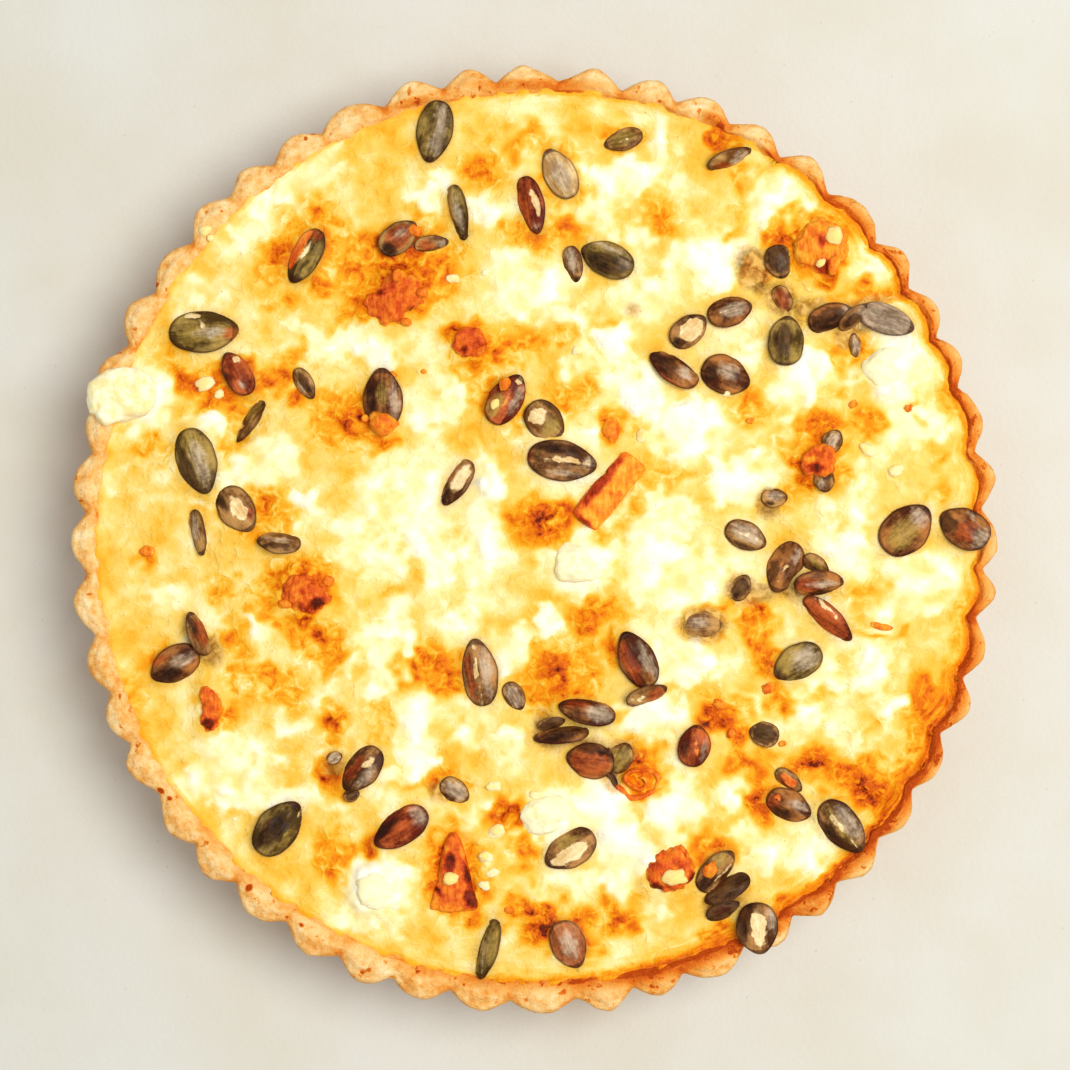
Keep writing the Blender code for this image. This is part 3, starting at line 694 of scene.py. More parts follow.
level = level.toward(0.48 - toast * 0.08 + fibre_swing * 1.3, glow * (0.07 + toast * 0.16))
line = (0.7 + toast * 0.9 - from_rim + wobble * 0.6 + fibre_swing * 3).between(0, 1.6)
level = level.toward(0.24 - toast * 0.05 + fine_swing * 0.5, line * (0.24 + toast * 0.42))
level = level + fibre_swing * (7 - from_rim).between(0, 7) * toast * 0.5
skin = level.ramp(
    (0.0, 96, 26, 2), (0.10, 184, 66, 3), (0.22, 218, 106, 3), (0.34, 232, 140, 8),
    (0.46, 238, 166, 28), (0.58, 240, 188, 66), (0.70, 243, 207, 108), (0.80, 248, 225, 152),
    (0.90, 252, 243, 192), (1.0, 254, 253, 234))
hazy = (wire.held("haze") + wobble * 0.8).between(-1.2, 1.0)
skin = (hazy * (0.72 + fine.between(0.42, 0.6) * 0.14)).tint(skin, strand.ramp(
    (0.38, 100, 60, 16), (0.5, 166, 114, 46), (0.64, 220, 176, 98)))
# Painted shade: a darker ring of custard round every seed, as if the seed shaded it.
painted_seed_shade = (wire.held("seed") + 1.6 + wobble * 0.5).between(0, 2.4)
skin = (painted_seed_shade * (0.26 + fine.between(0.40, 0.62) * 0.16)).tint(skin, colour(164, 122, 50))
stray = (1 - wire.cells(2.6).between(0.05, 0.11)) * strand.between(0.5, 0.6)
skin = (stray * 0.5).tint(skin, colour(176, 112, 46))
calm = cream.between(-2.4, 1.5)
finish_with(wire, shader, skin, 0.34 + fine * 0.3, (strand + fine * 0.3) * (0.8 - calm * 0.45), 1.1)
make_filling(custard)


# Cheese lumps
# Fresh white cheese broken by hand and dropped on the filling. Each lump has a crumbly broken
# face and a thin skin of custard that has run up its sides.
LUMP_SWELL = 0.25                 # a lump is this much fuller than its solid, before its bumps
PIT_SIZE = 2.3
PIT_DEPTH = 0.35
CHEESE_BUMPS = ((7.0, 1.2), (2.8, 0.42), (1.0, 0.10))
CHEESE_BAKED = {"cheese_1": 0.45}
CHEESE_LEAST_BAKED = 0.1          # how far the other lumps have browned


def lump_mesh(node, levels):
    """The CAD lump's points, outward directions and faces, refined by subdivision."""
    body = bmesh.new()
    body.from_mesh(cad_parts[node].data)
    bmesh.ops.remove_doubles(body, verts=body.verts[:], dist=0.01 * MM)
    mesh = bpy.data.meshes.new("rough_lump")
    body.to_mesh(mesh)
    body.free()
    item = add_object("rough_lump", mesh)
    item.modifiers.new("refine", "SUBSURF").levels = levels
    fine_mesh = item.evaluated_get(bpy.context.evaluated_depsgraph_get()).to_mesh()
    points = np.array([v.co for v in fine_mesh.vertices]) / MM
    normals = np.array([v.normal for v in fine_mesh.vertices])
    faces = [list(face.vertices) for face in fine_mesh.polygons]
    bpy.data.objects.remove(item)
    return points, normals, faces


def bare_height(points):
    """How far above the custard each point stands."""
    return points[:, 2] - custard_top(points[:, 0], points[:, 1])


def make_lump(node, levels, bumps, material, seed, baked):
    """One lump with bumps, rows of (size, height), pushed out of or into its surface."""
    points, normals, faces = lump_mesh(node, levels)
    points = points + normals * LUMP_SWELL
    for size, height in bumps:
        push = height * rough(points, size, seed, 2)
        points = points + normals * push[:, None]
        seed += 3
    pits = soft_step(rough(points, PIT_SIZE, seed, 2), 0.35, 0.8)
    points = points - normals * pits[:, None] * PIT_DEPTH
    values = {"bare": bare_height(points), "pits": pits, "baked": 0 * pits + baked}
    return make_piece(node + "_piece", points, faces, values, material, [node])


cheese, wire, shader = new_material(
    "crumbled_cheese", subsurface_weight=0.35, subsurface_radius=(1.0, 0.9, 0.7),
    subsurface_scale=0.002)
clots = wire.grain(2.2, 4, 0.6)
grit = wire.grain(0.5, 3, 0.6)
curd = clots.between(0.36, 0.66).tint(colour(254, 249, 218), colour(253, 240, 186))
curd = (wire.held("baked") + (clots - 0.5) * 1.2).between(0.2, 1.0).tint(curd, colour(252, 218, 134))
curd = (wire.held("pits").between(0.1, 0.9) * 0.4).tint(curd, colour(251, 224, 140))
sunk = 1 - (wire.held("bare") + (clots - 0.5) * 4).between(-0.2, 2.8)
curd = (sunk * 0.85).tint(curd, colour(254, 246, 200))
finish_with(wire, shader, curd, 0.5 + grit * 0.3, clots * 0.6 + grit * 0.2, 0.5)
for number, node in enumerate(sorted(n for n in lump_nodes if n.startswith("cheese_"))):
    make_lump(node, 3, CHEESE_BUMPS, cheese, 50 + 10 * number,
              CHEESE_BAKED.get(node, CHEESE_LEAST_BAKED))


# Squash
# Roasted orange squash, diced before it went in. The cut faces are moist and stringy, and the
# corners that stand out of the custard have browned to red and nearly black.
def add_singes(item):
    """Keep on a piece's points how far inside a singed edge each lies."""
    points = np.array([v.co for v in item.data.vertices]) / MM
    layer = item.data.attributes.new("singed", "FLOAT", "POINT")
    layer.data.foreach_set("value", depth_inside(points[:, 0], points[:, 1], SINGED).astype(np.float32))


CHUNK_BUMPS = ((5.0, 0.8), (2.0, 0.55), (0.8, 0.2))
DICED_BUMPS = ((6.0, 0.3), (2.0, 0.16), (0.7, 0.08))
BAKED = {                         # how far each piece has browned, from 0 to 1
    "squash_1": 0.50, "squash_2": 0.24, "squash_3": 0.50, "squash_4": 0.50, "squash_5": 0.46,
    "squash_6": 0.40, "squash_7": 0.46, "squash_cube": 0.22, "squash_wedge": 0.42,
}
SINGED = (                        # red and black edges, as patches
    (16, 14, 10.5, 1.7, 50), (12.2, 4, 3.8, 1.2, -42), (-14.6, -87.2, 3.4, 2.4, -40),
    (-15.6, -83, 7, 1.3, -72), (-20.5, -78.3, 1.6, 2.6), (-24, -84.5, 3.5, 0.7, -50),
    (28.5, -76.5, 3.5, 0.8, 25), (29.5, -85, 2.2, 2.2), (38.5, -82.5, 1.4, 2.6), (69.5, 72.5, 1.2, 2),
    (70, 66, 1.8, 2.2), (-53, -15.5, 2.6, 1.6, 30), (-79, -44.5, 2, 1.6), (67.5, 17.5, 2.2, 1.4),
    (-37, 60, 1.8, 1, 20), (-30, 56, 1.6, 1), (-17, 46, 1.4, 1),
)
squash, wire, shader = new_material(
    "roast_squash", subsurface_weight=0.2, subsurface_radius=(1.0, 0.35, 0.1),
    subsurface_scale=0.002)
flesh = wire.grain(2.6, 4, 0.6)
strings = wire.grain(0.9, 3, 0.6, wire.node("ShaderNodeMapping", {}, {
    "Vector": wire.place(), "Scale": (1.0, 0.25, 1.0), "Rotation": (0, 0, 0.7)}))
baked = wire.held("baked")
singed = (wire.held("singed") + (flesh - 0.5) * 1.2).between(-0.4, 0.9)
done = baked + (flesh - 0.5) * (baked * 1.8 + 0.2) + (strings - 0.5) * 0.6
done = done + wire.held("pits") * 0.14 + singed * 0.5
pulp = done.ramp(
    (0.0, 252, 196, 78), (0.2, 244, 158, 40), (0.38, 232, 118, 32), (0.56, 212, 86, 28),
    (0.75, 170, 52, 14), (1.0, 84, 24, 8))
drowned = 1 - (wire.held("bare") + (flesh - 0.5) * 3).between(-0.4, 0.9)
pulp = (drowned * (0.65 - singed * 0.5)).tint(pulp, colour(243, 164, 44))
finish_with(wire, shader, pulp, 0.20 + strings * 0.3, flesh * 0.5 + strings * 0.5, 1.0)
for number, node in enumerate(sorted(n for n in lump_nodes if n.startswith("squash_"))):
    diced = node in DICED
    made = make_lump(node, 5 if diced else 3, DICED_BUMPS if diced else CHUNK_BUMPS,
                     squash, 120 + 10 * number, BAKED[node])
    add_singes(made)


# Curl of squash skin
# A strip of squash skin that rolled up as it roasted. It fell on its side on the custard,
# which set round its lower half.
CURL_PLACE = (25.6, -58.6)
CURL_START = math.radians(200)
CURL_TURNS = 1.7
CURL_OUT, CURL_IN = 4.9, 0.9      # the spiral's radius at its ends
CURL_STRIP = 0.85                 # half thickness of the strip
CURL_RINGS = 90
CURL_SIDES = 14


def make_curl(material):
    share = np.linspace(0, 1, CURL_RINGS)
    turn = CURL_START + share * CURL_TURNS * math.tau
    out = CURL_OUT + (CURL_IN - CURL_OUT) * share
    side = math.tau * np.arange(CURL_SIDES) / CURL_SIDES
    thin = CURL_STRIP * (1 - 0.55 * share)[:, None]
    reach = out[:, None] + thin * np.cos(side)
    base = custard_at(*CURL_PLACE)
    points = np.stack((CURL_PLACE[0] + 1.15 * reach * np.cos(turn)[:, None],
                       CURL_PLACE[1] + 0.85 * reach * np.sin(turn)[:, None],
                       base - 0.2 + (1.3 + 0.5 * share[:, None]) * np.sin(side)), 2)
    points = with_ends(points)
    for axis, height, size, seed in ((2, 0.5, 2.4, 71), (0, 0.6, 2.6, 72), (1, 0.6, 2.6, 73)):
        points[:, axis] += height * rough(points, size, seed, 2)
    values = {"bare": bare_height(points) + 0.2, "pits": 0.5 + 0.5 * rough(points, 1.2, 73, 2),
              "baked": with_ends(0.32 - 0.1 * share[:, None] + 0.1 * np.sin(side)),
              "singed": -1 + 0.9 * rough(points, 2.0, 74, 2)}
    faces = ring_faces(CURL_RINGS, CURL_SIDES)
    return make_piece("squash_curl", points, faces, values, material)


make_curl(squash)


# Crumbs
# Bits that broke off the cheese and the squash as they were scattered. They lie on the
# custard, the squash and the seeds, or a little way into them.
CRUMB_RINGS = 12
CRUMB_SIDES = 16
CRUMB_SUNK = 0.4
CHEESE_CRUMBS = (                 # x, y, length, width, heading, height of the middle above the custard
    (34.3, -81.5, 5.8, 4.2, 10, 3.2), (-20.4, -82.3, 3.8, 3.0, 20, 2.3), (-17.4, -88.8, 3.2, 2.0, 20, 0.5),
    (72.6, 73.5, 4.4, 4.0, 30, 3.0), (69.4, 67.0, 2.4, 1.8, 40, 3.2), (-80, 38, 5.0, 3.2, 30, 0.6),
    (-76.5, 35.5, 3.0, 2.2, 0, 0.5), (-12, -84, 2.6, 2.2, 0, 0.5), (26.5, 25.5, 3.4, 2.6, 60, 0.4),
    (-9.5, 33.0, 3.0, 2.0, 60, 2.6), (-80.2, 75.2, 3.2, 2.6, 20, 1.6), (-78.6, 73.4, 1.8, 1.5, 0, 1.3),
    (-19.5, 63.5, 3.2, 2.4, 0, 0.4), (-12, 65, 2.2, 1.6, 30, 0.3),
    (47, 36, 3, 2.4, 0, 0.4), (81, 22, 4, 2.4, -30, 0.5), (88, 17, 3.6, 2.6, 20, 0.5),
    (-10, -60, 3.4, 2.6, 0, 0.5), (-9, -71, 4.4, 3.0, 30, 0.5), (-12, -77, 3.6, 3.0, 0, 0.5),
    (-10, -81, 3.0, 2.4, 10, 0.4), (0, -62, 2.8, 2.2, 0, 0.4), (5, -78, 3.4, 2.4, 30, 0.4),
    (-73, -68, 1.4, 1.2, 0, 0.3), (10.5, 46, 3, 2.4, 0, 0.4), (-40, -52, 2.6, 2, 0, 0.4),
)
SQUASH_CRUMBS = (
    (19, 27, 6.2, 4.6, 100, 0.5), (-36.5, 28.3, 6.4, 5.6, 0, 2.0), (-7.2, 37.6, 3.2, 2.6, 60, 2.9),
    (42.6, -79.9, 4.2, 3.6, 60, 2.4), (-94.2, -2.7, 3.4, 2.6, 0, 0.5), (77.5, 33, 2.6, 1.6, 40, 0.5),
    (72.5, 66.5, 4.4, 3.0, 70, 2.6), (-29, 75, 3.4, 2.4, -30, 2.4), (-41, 29.5, 2.2, 1.8, 0, 1.2),
    (-33, 64, 3.4, 2.4, 60, 3.0), (-27, 60, 3.0, 2.4, 30, 1.2), (-31, 53, 2.6, 2.0, 0, 0.8),
    (-34.5, 40, 2.4, 1.8, 0, 0.4), (-27, 41, 1.8, 1.4, 0, 0.3), (57, -36, 3.4, 2.4, 30, 0.5),
    (45, -40, 3.4, 2.4, -30, 0.6), (48, -47, 2.6, 2.0, 60, 0.6), (60.5, -49.5, 2.0, 1.6, 0, 0.4),
    (52.5, 29, 2.2, 1.6, 20, 0.4), (91, 32, 2.2, 1.8, 0, 0.4), (-60.5, -15.5, 3.4, 2.4, 0, 0.8),
    (-50, -10, 3.0, 2.2, 30, 0.8), (84.5, -21, 5.0, 1.6, -10, 0.5), (-6, -90, 2.6, 1.8, 0, 0.4),
    (7, -96, 3.0, 2.0, 30, 0.5), (0, -65, 2.2, 1.8, 0, 0.5), (-8.5, -67, 1.6, 1.4, 0, 0.4),
)


def make_crumbs(name, rows, baked, material, seed):
    points, faces = [], []
    turn = np.linspace(0.12, math.pi - 0.12, CRUMB_RINGS)[:, None]
    side = math.tau * np.arange(CRUMB_SIDES)[None, :] / CRUMB_SIDES
    ball = with_ends(np.stack((-np.cos(turn) + 0 * side, np.sin(turn) * np.cos(side),
                               np.sin(turn) * np.sin(side)), 2))
    for number, (x, y, length, width, heading, lift) in enumerate(rows):
        lump = ball * (1 + 0.28 * rough(ball * 1.2 + number * 9, 1.0, seed, 3))[:, None]
        lump = lump * (length / 2, width / 2, width * 0.4)
        cos, sin = cos_sin(heading)
        lump = lump @ np.array(((cos, sin, 0), (-sin, cos, 0), (0, 0, 1)))
        height = custard_at(x, y) + lift - CRUMB_SUNK
        faces += ring_faces(CRUMB_RINGS, CRUMB_SIDES, number * len(ball))
        points.append(lump + (x, y, height))
    points = np.concatenate(points)
    pits = soft_step(rough(points, 1.2, seed + 5, 2), 0.1, 0.8)
    values = {"bare": bare_height(points) + 0.5, "pits": pits, "baked": 0 * pits + baked}
    add_singes(make_piece(name, points, faces, values, material))


make_crumbs("cheese_crumbs", CHEESE_CRUMBS, 0.95, cheese, 76)
make_crumbs("squash_crumbs", SQUASH_CRUMBS, 0.30, squash, 78)


# Green pumpkin seeds
# Hulled pumpkin seeds, scattered on before baking: a flat drop with a raised margin, its thin
# skin finely lined from end to end. These kept their olive green. The pale patches on them
# are painted sheen, the bright room reflected in the skin and painted into its colour.
SEED_RINGS = 34
SEED_SIDES = 28
SEED_TIP = 0.40                   # how much narrower the pointed half is
STREAK_LONG = 5.0                 # the lines in the skin, in mm
STREAK_WIDE = 0.7
# A mark is its kind; its place along and across the seed and its two half sizes, as shares of
# the seed's half length and half width; and its turn in degrees. The tip and left are positive.
# One kind of mark is painted sheen: pale patches that stand for the bright room reflected in the skin.
MARK_KINDS = ("olive", "rust", "orange", "grey", "char", "cream")
SKIN_COLOURS = {
    "green": ((70, 48, 10), (178, 146, 74)), "brown": ((70, 28, 6), (184, 118, 58)),
    "red": ((94, 24, 6), (206, 104, 50)), "striped": ((74, 38, 10), (192, 138, 80)),
    "pale": ((176, 132, 76), (242, 214, 152)), "sunk": ((104, 60, 20), (194, 146, 84)),
}
SEED_FULLNESS = 2.3               # 2 makes an oval, more makes it squarer at its ends
TONE_STEP = 0.6180339             # spreads the tones of the seeds in a kind evenly


def mark_depth(along, across, marks, kind):
    """How far inside the marks of one kind each point is, as a share; negative outside."""
    deepest = np.full(along.shape, -1.0)
    for mark_kind, middle_along, middle_across, half_long, half_wide, *turn in marks:
        if mark_kind != kind:
            continue
        cos, sin = cos_sin(*turn)
        step_along, step_across = along - middle_along, across - middle_across
        u = (step_along * cos + step_across * sin) / half_long
        v = (step_across * cos - step_along * sin) / half_wide
        deepest = np.maximum(deepest, (1 - np.hypot(u, v)) * (min(half_long, half_wide) + 0.15))
    return deepest


def seed_rings(middle, axes, size, marks, number):
    """Rings of points and their values for one seed, blunt end first."""
    turn = np.linspace(0.04, math.pi - 0.04, SEED_RINGS)[:, None]
    side = math.tau * np.arange(SEED_SIDES)[None, :] / SEED_SIDES
    along = -np.cos(turn) + 0 * side
    wide = (1 - np.abs(along) ** SEED_FULLNESS) ** (1 / SEED_FULLNESS)
    wide = wide * (1.03 - SEED_TIP * np.maximum(along, 0) ** 1.7)
    across = np.cos(side) * wide
    out = np.minimum(np.sqrt(along ** 2 + (np.cos(side) * np.sin(turn)) ** 2), 1)
    upper = np.sin(side) > 0
    thick = np.clip(1 - out ** 2.6, 0, 1) ** 0.5 * (0.96 - 0.2 * np.maximum(along, 0))
    thick -= 0.10 * np.exp(-((out - 0.84) / 0.05) ** 2)
    thick += 0.12 * np.exp(-((out - 0.93) / 0.045) ** 2)
    local = np.stack((along * 2.2, across * 8, number + 0 * along), 2).reshape(-1, 3)
    lines = rough(local, 1.0, 61, 2).reshape(along.shape)
    swell = np.stack((along * 1.5, across * 1.5, number + 0 * along), 2).reshape(-1, 3)
    uneven = rough(swell, 1.0, 62, 2).reshape(along.shape)
    bent = [0.10 * rough(swell * 3.5, 1.0, seed, 2).reshape(along.shape) for seed in (63, 64)]
    depth = {kind: mark_depth(along + bent[0], across + bent[1] * 1.6, marks, kind)
             for kind in MARK_KINDS}
    thick = thick * (1 + 0.18 * uneven) + 0.15 * lines
    thick -= 0.16 * upper * soft_step(depth["cream"], 0.0, 0.1)
    thick += 0.10 * upper * np.exp(-((depth["cream"] + 0.03) / 0.04) ** 2)
    lift = np.sin(side) * thick
    bend = 0.12 * (along ** 2) * ((number * 0.37) % 1 - 0.3)
    points = np.stack((along * size[0] / 2,
                       (across * (1 + 0.05 * uneven)) * size[1] / 2,
                       (lift - bend) * size[2] / 2), 2)
    points = points @ axes + middle
    values = {kind: np.where(upper, depth[kind], -1.0) for kind in MARK_KINDS}
    values["margin"] = out + 0.3 * soft_step(along, 0.72, 0.98)
    # Painted shade: the slow swell that also bulges the seed makes one side of its skin darker and the
    # other lighter.
    values["shade"] = uneven
    values["lined"] = lines
    values["lengthwise"] = along * size[0] / 2 / STREAK_LONG
    values["crosswise"] = across * size[1] / 2 / STREAK_WIDE
    values["tone"] = number * TONE_STEP % 1 + 0 * along
    return points, values


def make_seeds(name, rows, material, nodes):
    """All the seeds of one kind as one piece. A row is a seat and the marks on that seed."""
    points, faces, gathered = [], [], {}
    for number, (seat, marks) in enumerate(rows, 1):
        rings, values = seed_rings(*seat, marks, number)
        faces += ring_faces(SEED_RINGS, SEED_SIDES, sum(len(p) for p in points))
        points.append(with_ends(rings))
        for label, data in values.items():
            gathered.setdefault(label, []).append(with_ends(data))
    points = np.concatenate(points)
    values = {label: np.concatenate(data) for label, data in gathered.items()}
    values["bare"] = bare_height(points)
    return make_piece(name, points, faces, values, material, nodes)


def seed_material(kind):
    dull, bright = [colour(*shade) for shade in SKIN_COLOURS[kind]]
    material, wire, shader = new_material("seed_skin_" + kind, coat_weight=0.06, coat_roughness=0.2)
    fleck = wire.grain(1.0, 3, 0.6)
    along_seed = wire.node("ShaderNodeCombineXYZ", {}, {
        "X": wire.held("lengthwise"), "Y": wire.held("crosswise"), "Z": wire.held("tone") * 90})
    streak = wire.node("ShaderNodeTexNoise", {}, {
        "Vector": along_seed, "Scale": 1.0, "Detail": 2.0, "Roughness": 0.6})
    lined = wire.held("lined")
    uneven = (fleck - 0.5) * 1.2 + (streak - 0.5) * 0.5 + lined * 0.08
    skin = 0.45 + (streak - 0.5) * 0.45 + (fleck - 0.5) * 0.6 + lined * 0.14
    # Painted shade: the seed's shade value darkens one side of the skin and lightens the other.
    skin = (skin + (wire.held("tone") - 0.5) * 0.2 + wire.held("shade") * 0.36).between(0.12, 0.88)
    skin = skin.tint(dull, bright)
    layers = (
        ("olive", (178, 148, 70), (110, 84, 28), 0.75, 0.25, 0.2),
        ("rust", (190, 88, 36), (112, 36, 8), 0.8, 0.25, 0.2),
        ("orange", (250, 152, 60), (222, 84, 20), 0.9, 0.2, 0.1),
        # painted sheen: pale patches painted on the skin for the bright room reflected in it
        ("grey", (212, 194, 168), (140, 116, 88), 0.68, 0.3, 0.3),
        ("char", (76, 40, 18), (26, 12, 4), 0.85, 0.25, 0.2),
        ("cream", (253, 236, 184), (222, 180, 112), 0.92, 0.10, 0.07),
    )
    for label, light, deep, strength, ragged, soft in layers:
        inside = (wire.held(label) + uneven * ragged).between(-soft * 0.6, soft)
        # The shade value also paints shade and light into the colour of each mark.
        shade = (streak * 0.5 + fleck * 0.5 + lined * 0.1 + wire.held("shade") * 0.12).between(0.26, 0.74)
        shade = shade.tint(colour(*deep), colour(*light))
        skin = (inside * strength).tint(skin, shade)
    margin = (wire.held("margin") + uneven * 0.05).between(0.86, 1.0)
    skin = (margin * 0.75).tint(skin, colour(56, 20, 4))
    filmed = 1 - (wire.held("bare") + (fleck - 0.5) * 1.2).between(-0.5, 0.15)
    film = fleck.between(0.4, 0.62).tint(colour(248, 218, 124), colour(170, 122, 50))
    skin = (filmed * 0.8).tint(skin, film)
    finish_with(wire, shader, skin, 0.36 + fleck * 0.25, streak * 0.7 + fleck * 0.5, 0.6)
    return material


def make_kind(kind, marks):
    nodes = [name for name in seed_nodes if name.startswith("seed_" + kind)]
    rows = [(seats[node], marks[number]) for number, node in enumerate(nodes)]
    return make_seeds("seeds_" + kind, rows, seed_material(kind), nodes)


make_kind("green", (
    (("grey", -0.4, 0.3, 0.5, 0.4), ("grey", 0.35, 0.25, 0.4, 0.45), ("char", 0.95, 0, 0.2, 0.3)),
    (("grey", 0.1, 0.4, 0.7, 0.25), ("rust", -0.2, -0.4, 0.7, 0.3), ("cream", 0.4, 0.05, 0.5, 0.06)),
    (("char", 0, 0.35, 0.9, 0.6), ("grey", -0.6, -0.1, 0.3, 0.35), ("grey", 0.1, -0.6, 0.6, 0.2),
     ("olive", 0.5, 0, 0.3, 0.3)),
    (("orange", -0.2, -0.6, 0.8, 0.5), ("cream", 0.05, 0.0, 0.5, 0.16, -8), ("olive", 0, 0.65, 0.8, 0.35),
     ("rust", -0.8, 0, 0.25, 0.5), ("char", 0.85, 0.1, 0.2, 0.6)),
    (("cream", -0.2, 0.75, 0.3, 0.13), ("cream", 0.02, 0.3, 0.1, 0.18), ("rust", 0.85, -0.2, 0.25, 0.5),
     ("olive", -0.3, -0.2, 0.5, 0.5), ("grey", 0.2, -0.1, 0.4, 0.3), ("orange", 0.9, -0.3, 0.15, 0.3)),
    (("grey", 0.1, 0.2, 0.7, 0.35), ("olive", -0.6, 0, 0.4, 0.6), ("char", 0.3, -0.55, 0.8, 0.4)),
    (("char", -0.2, 0.2, 0.7, 0.55), ("olive", -0.2, -0.65, 0.6, 0.2), ("char", 0.9, -0.1, 0.15, 0.3),
     ("cream", 0.75, -0.35, 0.15, 0.08)),
    (("grey", -0.3, 0, 0.55, 0.7), ("char", 0.8, 0.2, 0.2, 0.4), ("olive", 0.4, -0.5, 0.3, 0.3)),
    (("char", 0.1, 0.2, 0.6, 0.55), ("olive", -0.4, -0.5, 0.4, 0.3)),
    (("grey", 0.1, 0.2, 0.5, 0.2, -10), ("char", 0, -0.5, 0.8, 0.3), ("olive", -0.5, 0.3, 0.3, 0.4)),
))


# Brown pumpkin seeds
# The same hulled seeds, scattered on with the green ones. The skin of these toasted brown in
# the oven. Their pale patches are painted sheen, as on the green ones.
make_kind("brown", (
    (("char", 0, 0.6, 0.6, 0.3), ("grey", -0.1, -0.6, 0.7, 0.28), ("olive", 0.2, 0, 0.4, 0.3)),
    (("char", 0.4, 0.1, 0.6, 0.5), ("grey", -0.4, 0, 0.35, 0.4), ("rust", 0, 0.9, 0.7, 0.15)),
    (("grey", -0.3, 0, 0.5, 0.4, -20), ("char", 0.5, 0.3, 0.6, 0.6), ("rust", 0.5, -0.65, 0.4, 0.2)),
    (("grey", -0.4, 0.1, 0.5, 0.6), ("char", 0.6, 0.6, 0.4, 0.2), ("rust", 0.4, -0.3, 0.5, 0.4)),
    (("char", 0, 0.3, 0.9, 0.5),),
    (("rust", 0, 0.1, 0.9, 0.8), ("char", 0, -0.7, 0.8, 0.3)),
    (("rust", 0, 0.5, 0.9, 0.4), ("grey", -0.2, -0.5, 0.7, 0.35), ("char", 0.95, 0, 0.15, 0.4)),
    (("grey", -0.5, 0.45, 0.3, 0.25), ("cream", 0.1, -0.02, 0.7, 0.05, -5), ("char", 0.3, -0.5, 0.6, 0.3)),
    (("rust", -0.5, 0, 0.5, 0.6), ("grey", 0.1, 0.1, 0.6, 0.3)),
    (("rust", -0.7, -0.2, 0.3, 0.6), ("grey", 0.3, 0.3, 0.5, 0.4), ("char", -0.2, -0.6, 0.5, 0.3),
     ("orange", -0.6, 0.2, 0.2, 0.15)),
    (("grey", 0.2, 0, 0.6, 0.5), ("cream", 0, 0, 0.6, 0.05)),
    (("char", -0.15, 0, 0.8, 0.8), ("grey", 0.75, 0.1, 0.25, 0.4)),
    (("grey", 0, 0, 1.2, 1.2),),
    (("grey", 0, 0.25, 0.45, 0.4), ("char", -0.6, -0.2, 0.3, 0.5)),
    (("olive", -0.2, 0, 0.6, 0.6), ("grey", 0.6, 0, 0.3, 0.45), ("char", 0.95, 0, 0.12, 0.3)),
    (("grey", -0.7, 0, 0.3, 0.6), ("rust", -0.1, 0.2, 0.4, 0.6), ("char", 0.6, 0.2, 0.4, 0.5),
     ("grey", 0, -0.7, 0.2, 0.2)),
))


# Red pumpkin seeds
# The same hulled seeds. The skin of these baked to a dark red, and on some it has split over
# the orange kernel.
make_kind("red", (
    (("cream", -0.05, 0.5, 0.5, 0.25), ("rust", -0.1, -0.3, 0.7, 0.4), ("grey", 0.75, 0, 0.15, 0.2),
     ("char", 0, -0.9, 0.8, 0.15)),
    (("olive", -0.4, 0.4, 0.5, 0.4), ("orange", -0.05, 0, 0.4, 0.13, 5), ("grey", 0.2, -0.5, 0.6, 0.3),
     ("cream", 0.78, 0, 0.14, 0.2)),
    (("rust", 0.1, 0, 0.6, 0.6), ("grey", -0.5, 0.2, 0.2, 0.3), ("cream", 0.5, -0.4, 0.2, 0.25),
     ("char", 0, 0.9, 0.8, 0.13)),
    (("rust", 0, 0.2, 0.5, 0.5), ("grey", -0.75, 0, 0.25, 0.6), ("char", 0.5, -0.5, 0.6, 0.4)),
    (("orange", 0.1, 0, 0.6, 0.11, 20), ("grey", -0.1, -0.6, 0.5, 0.2), ("char", -0.2, 0.6, 0.5, 0.3)),
    (("rust", 0, 0, 0.8, 0.6), ("cream", -0.3, 0.75, 0.5, 0.12)),
))


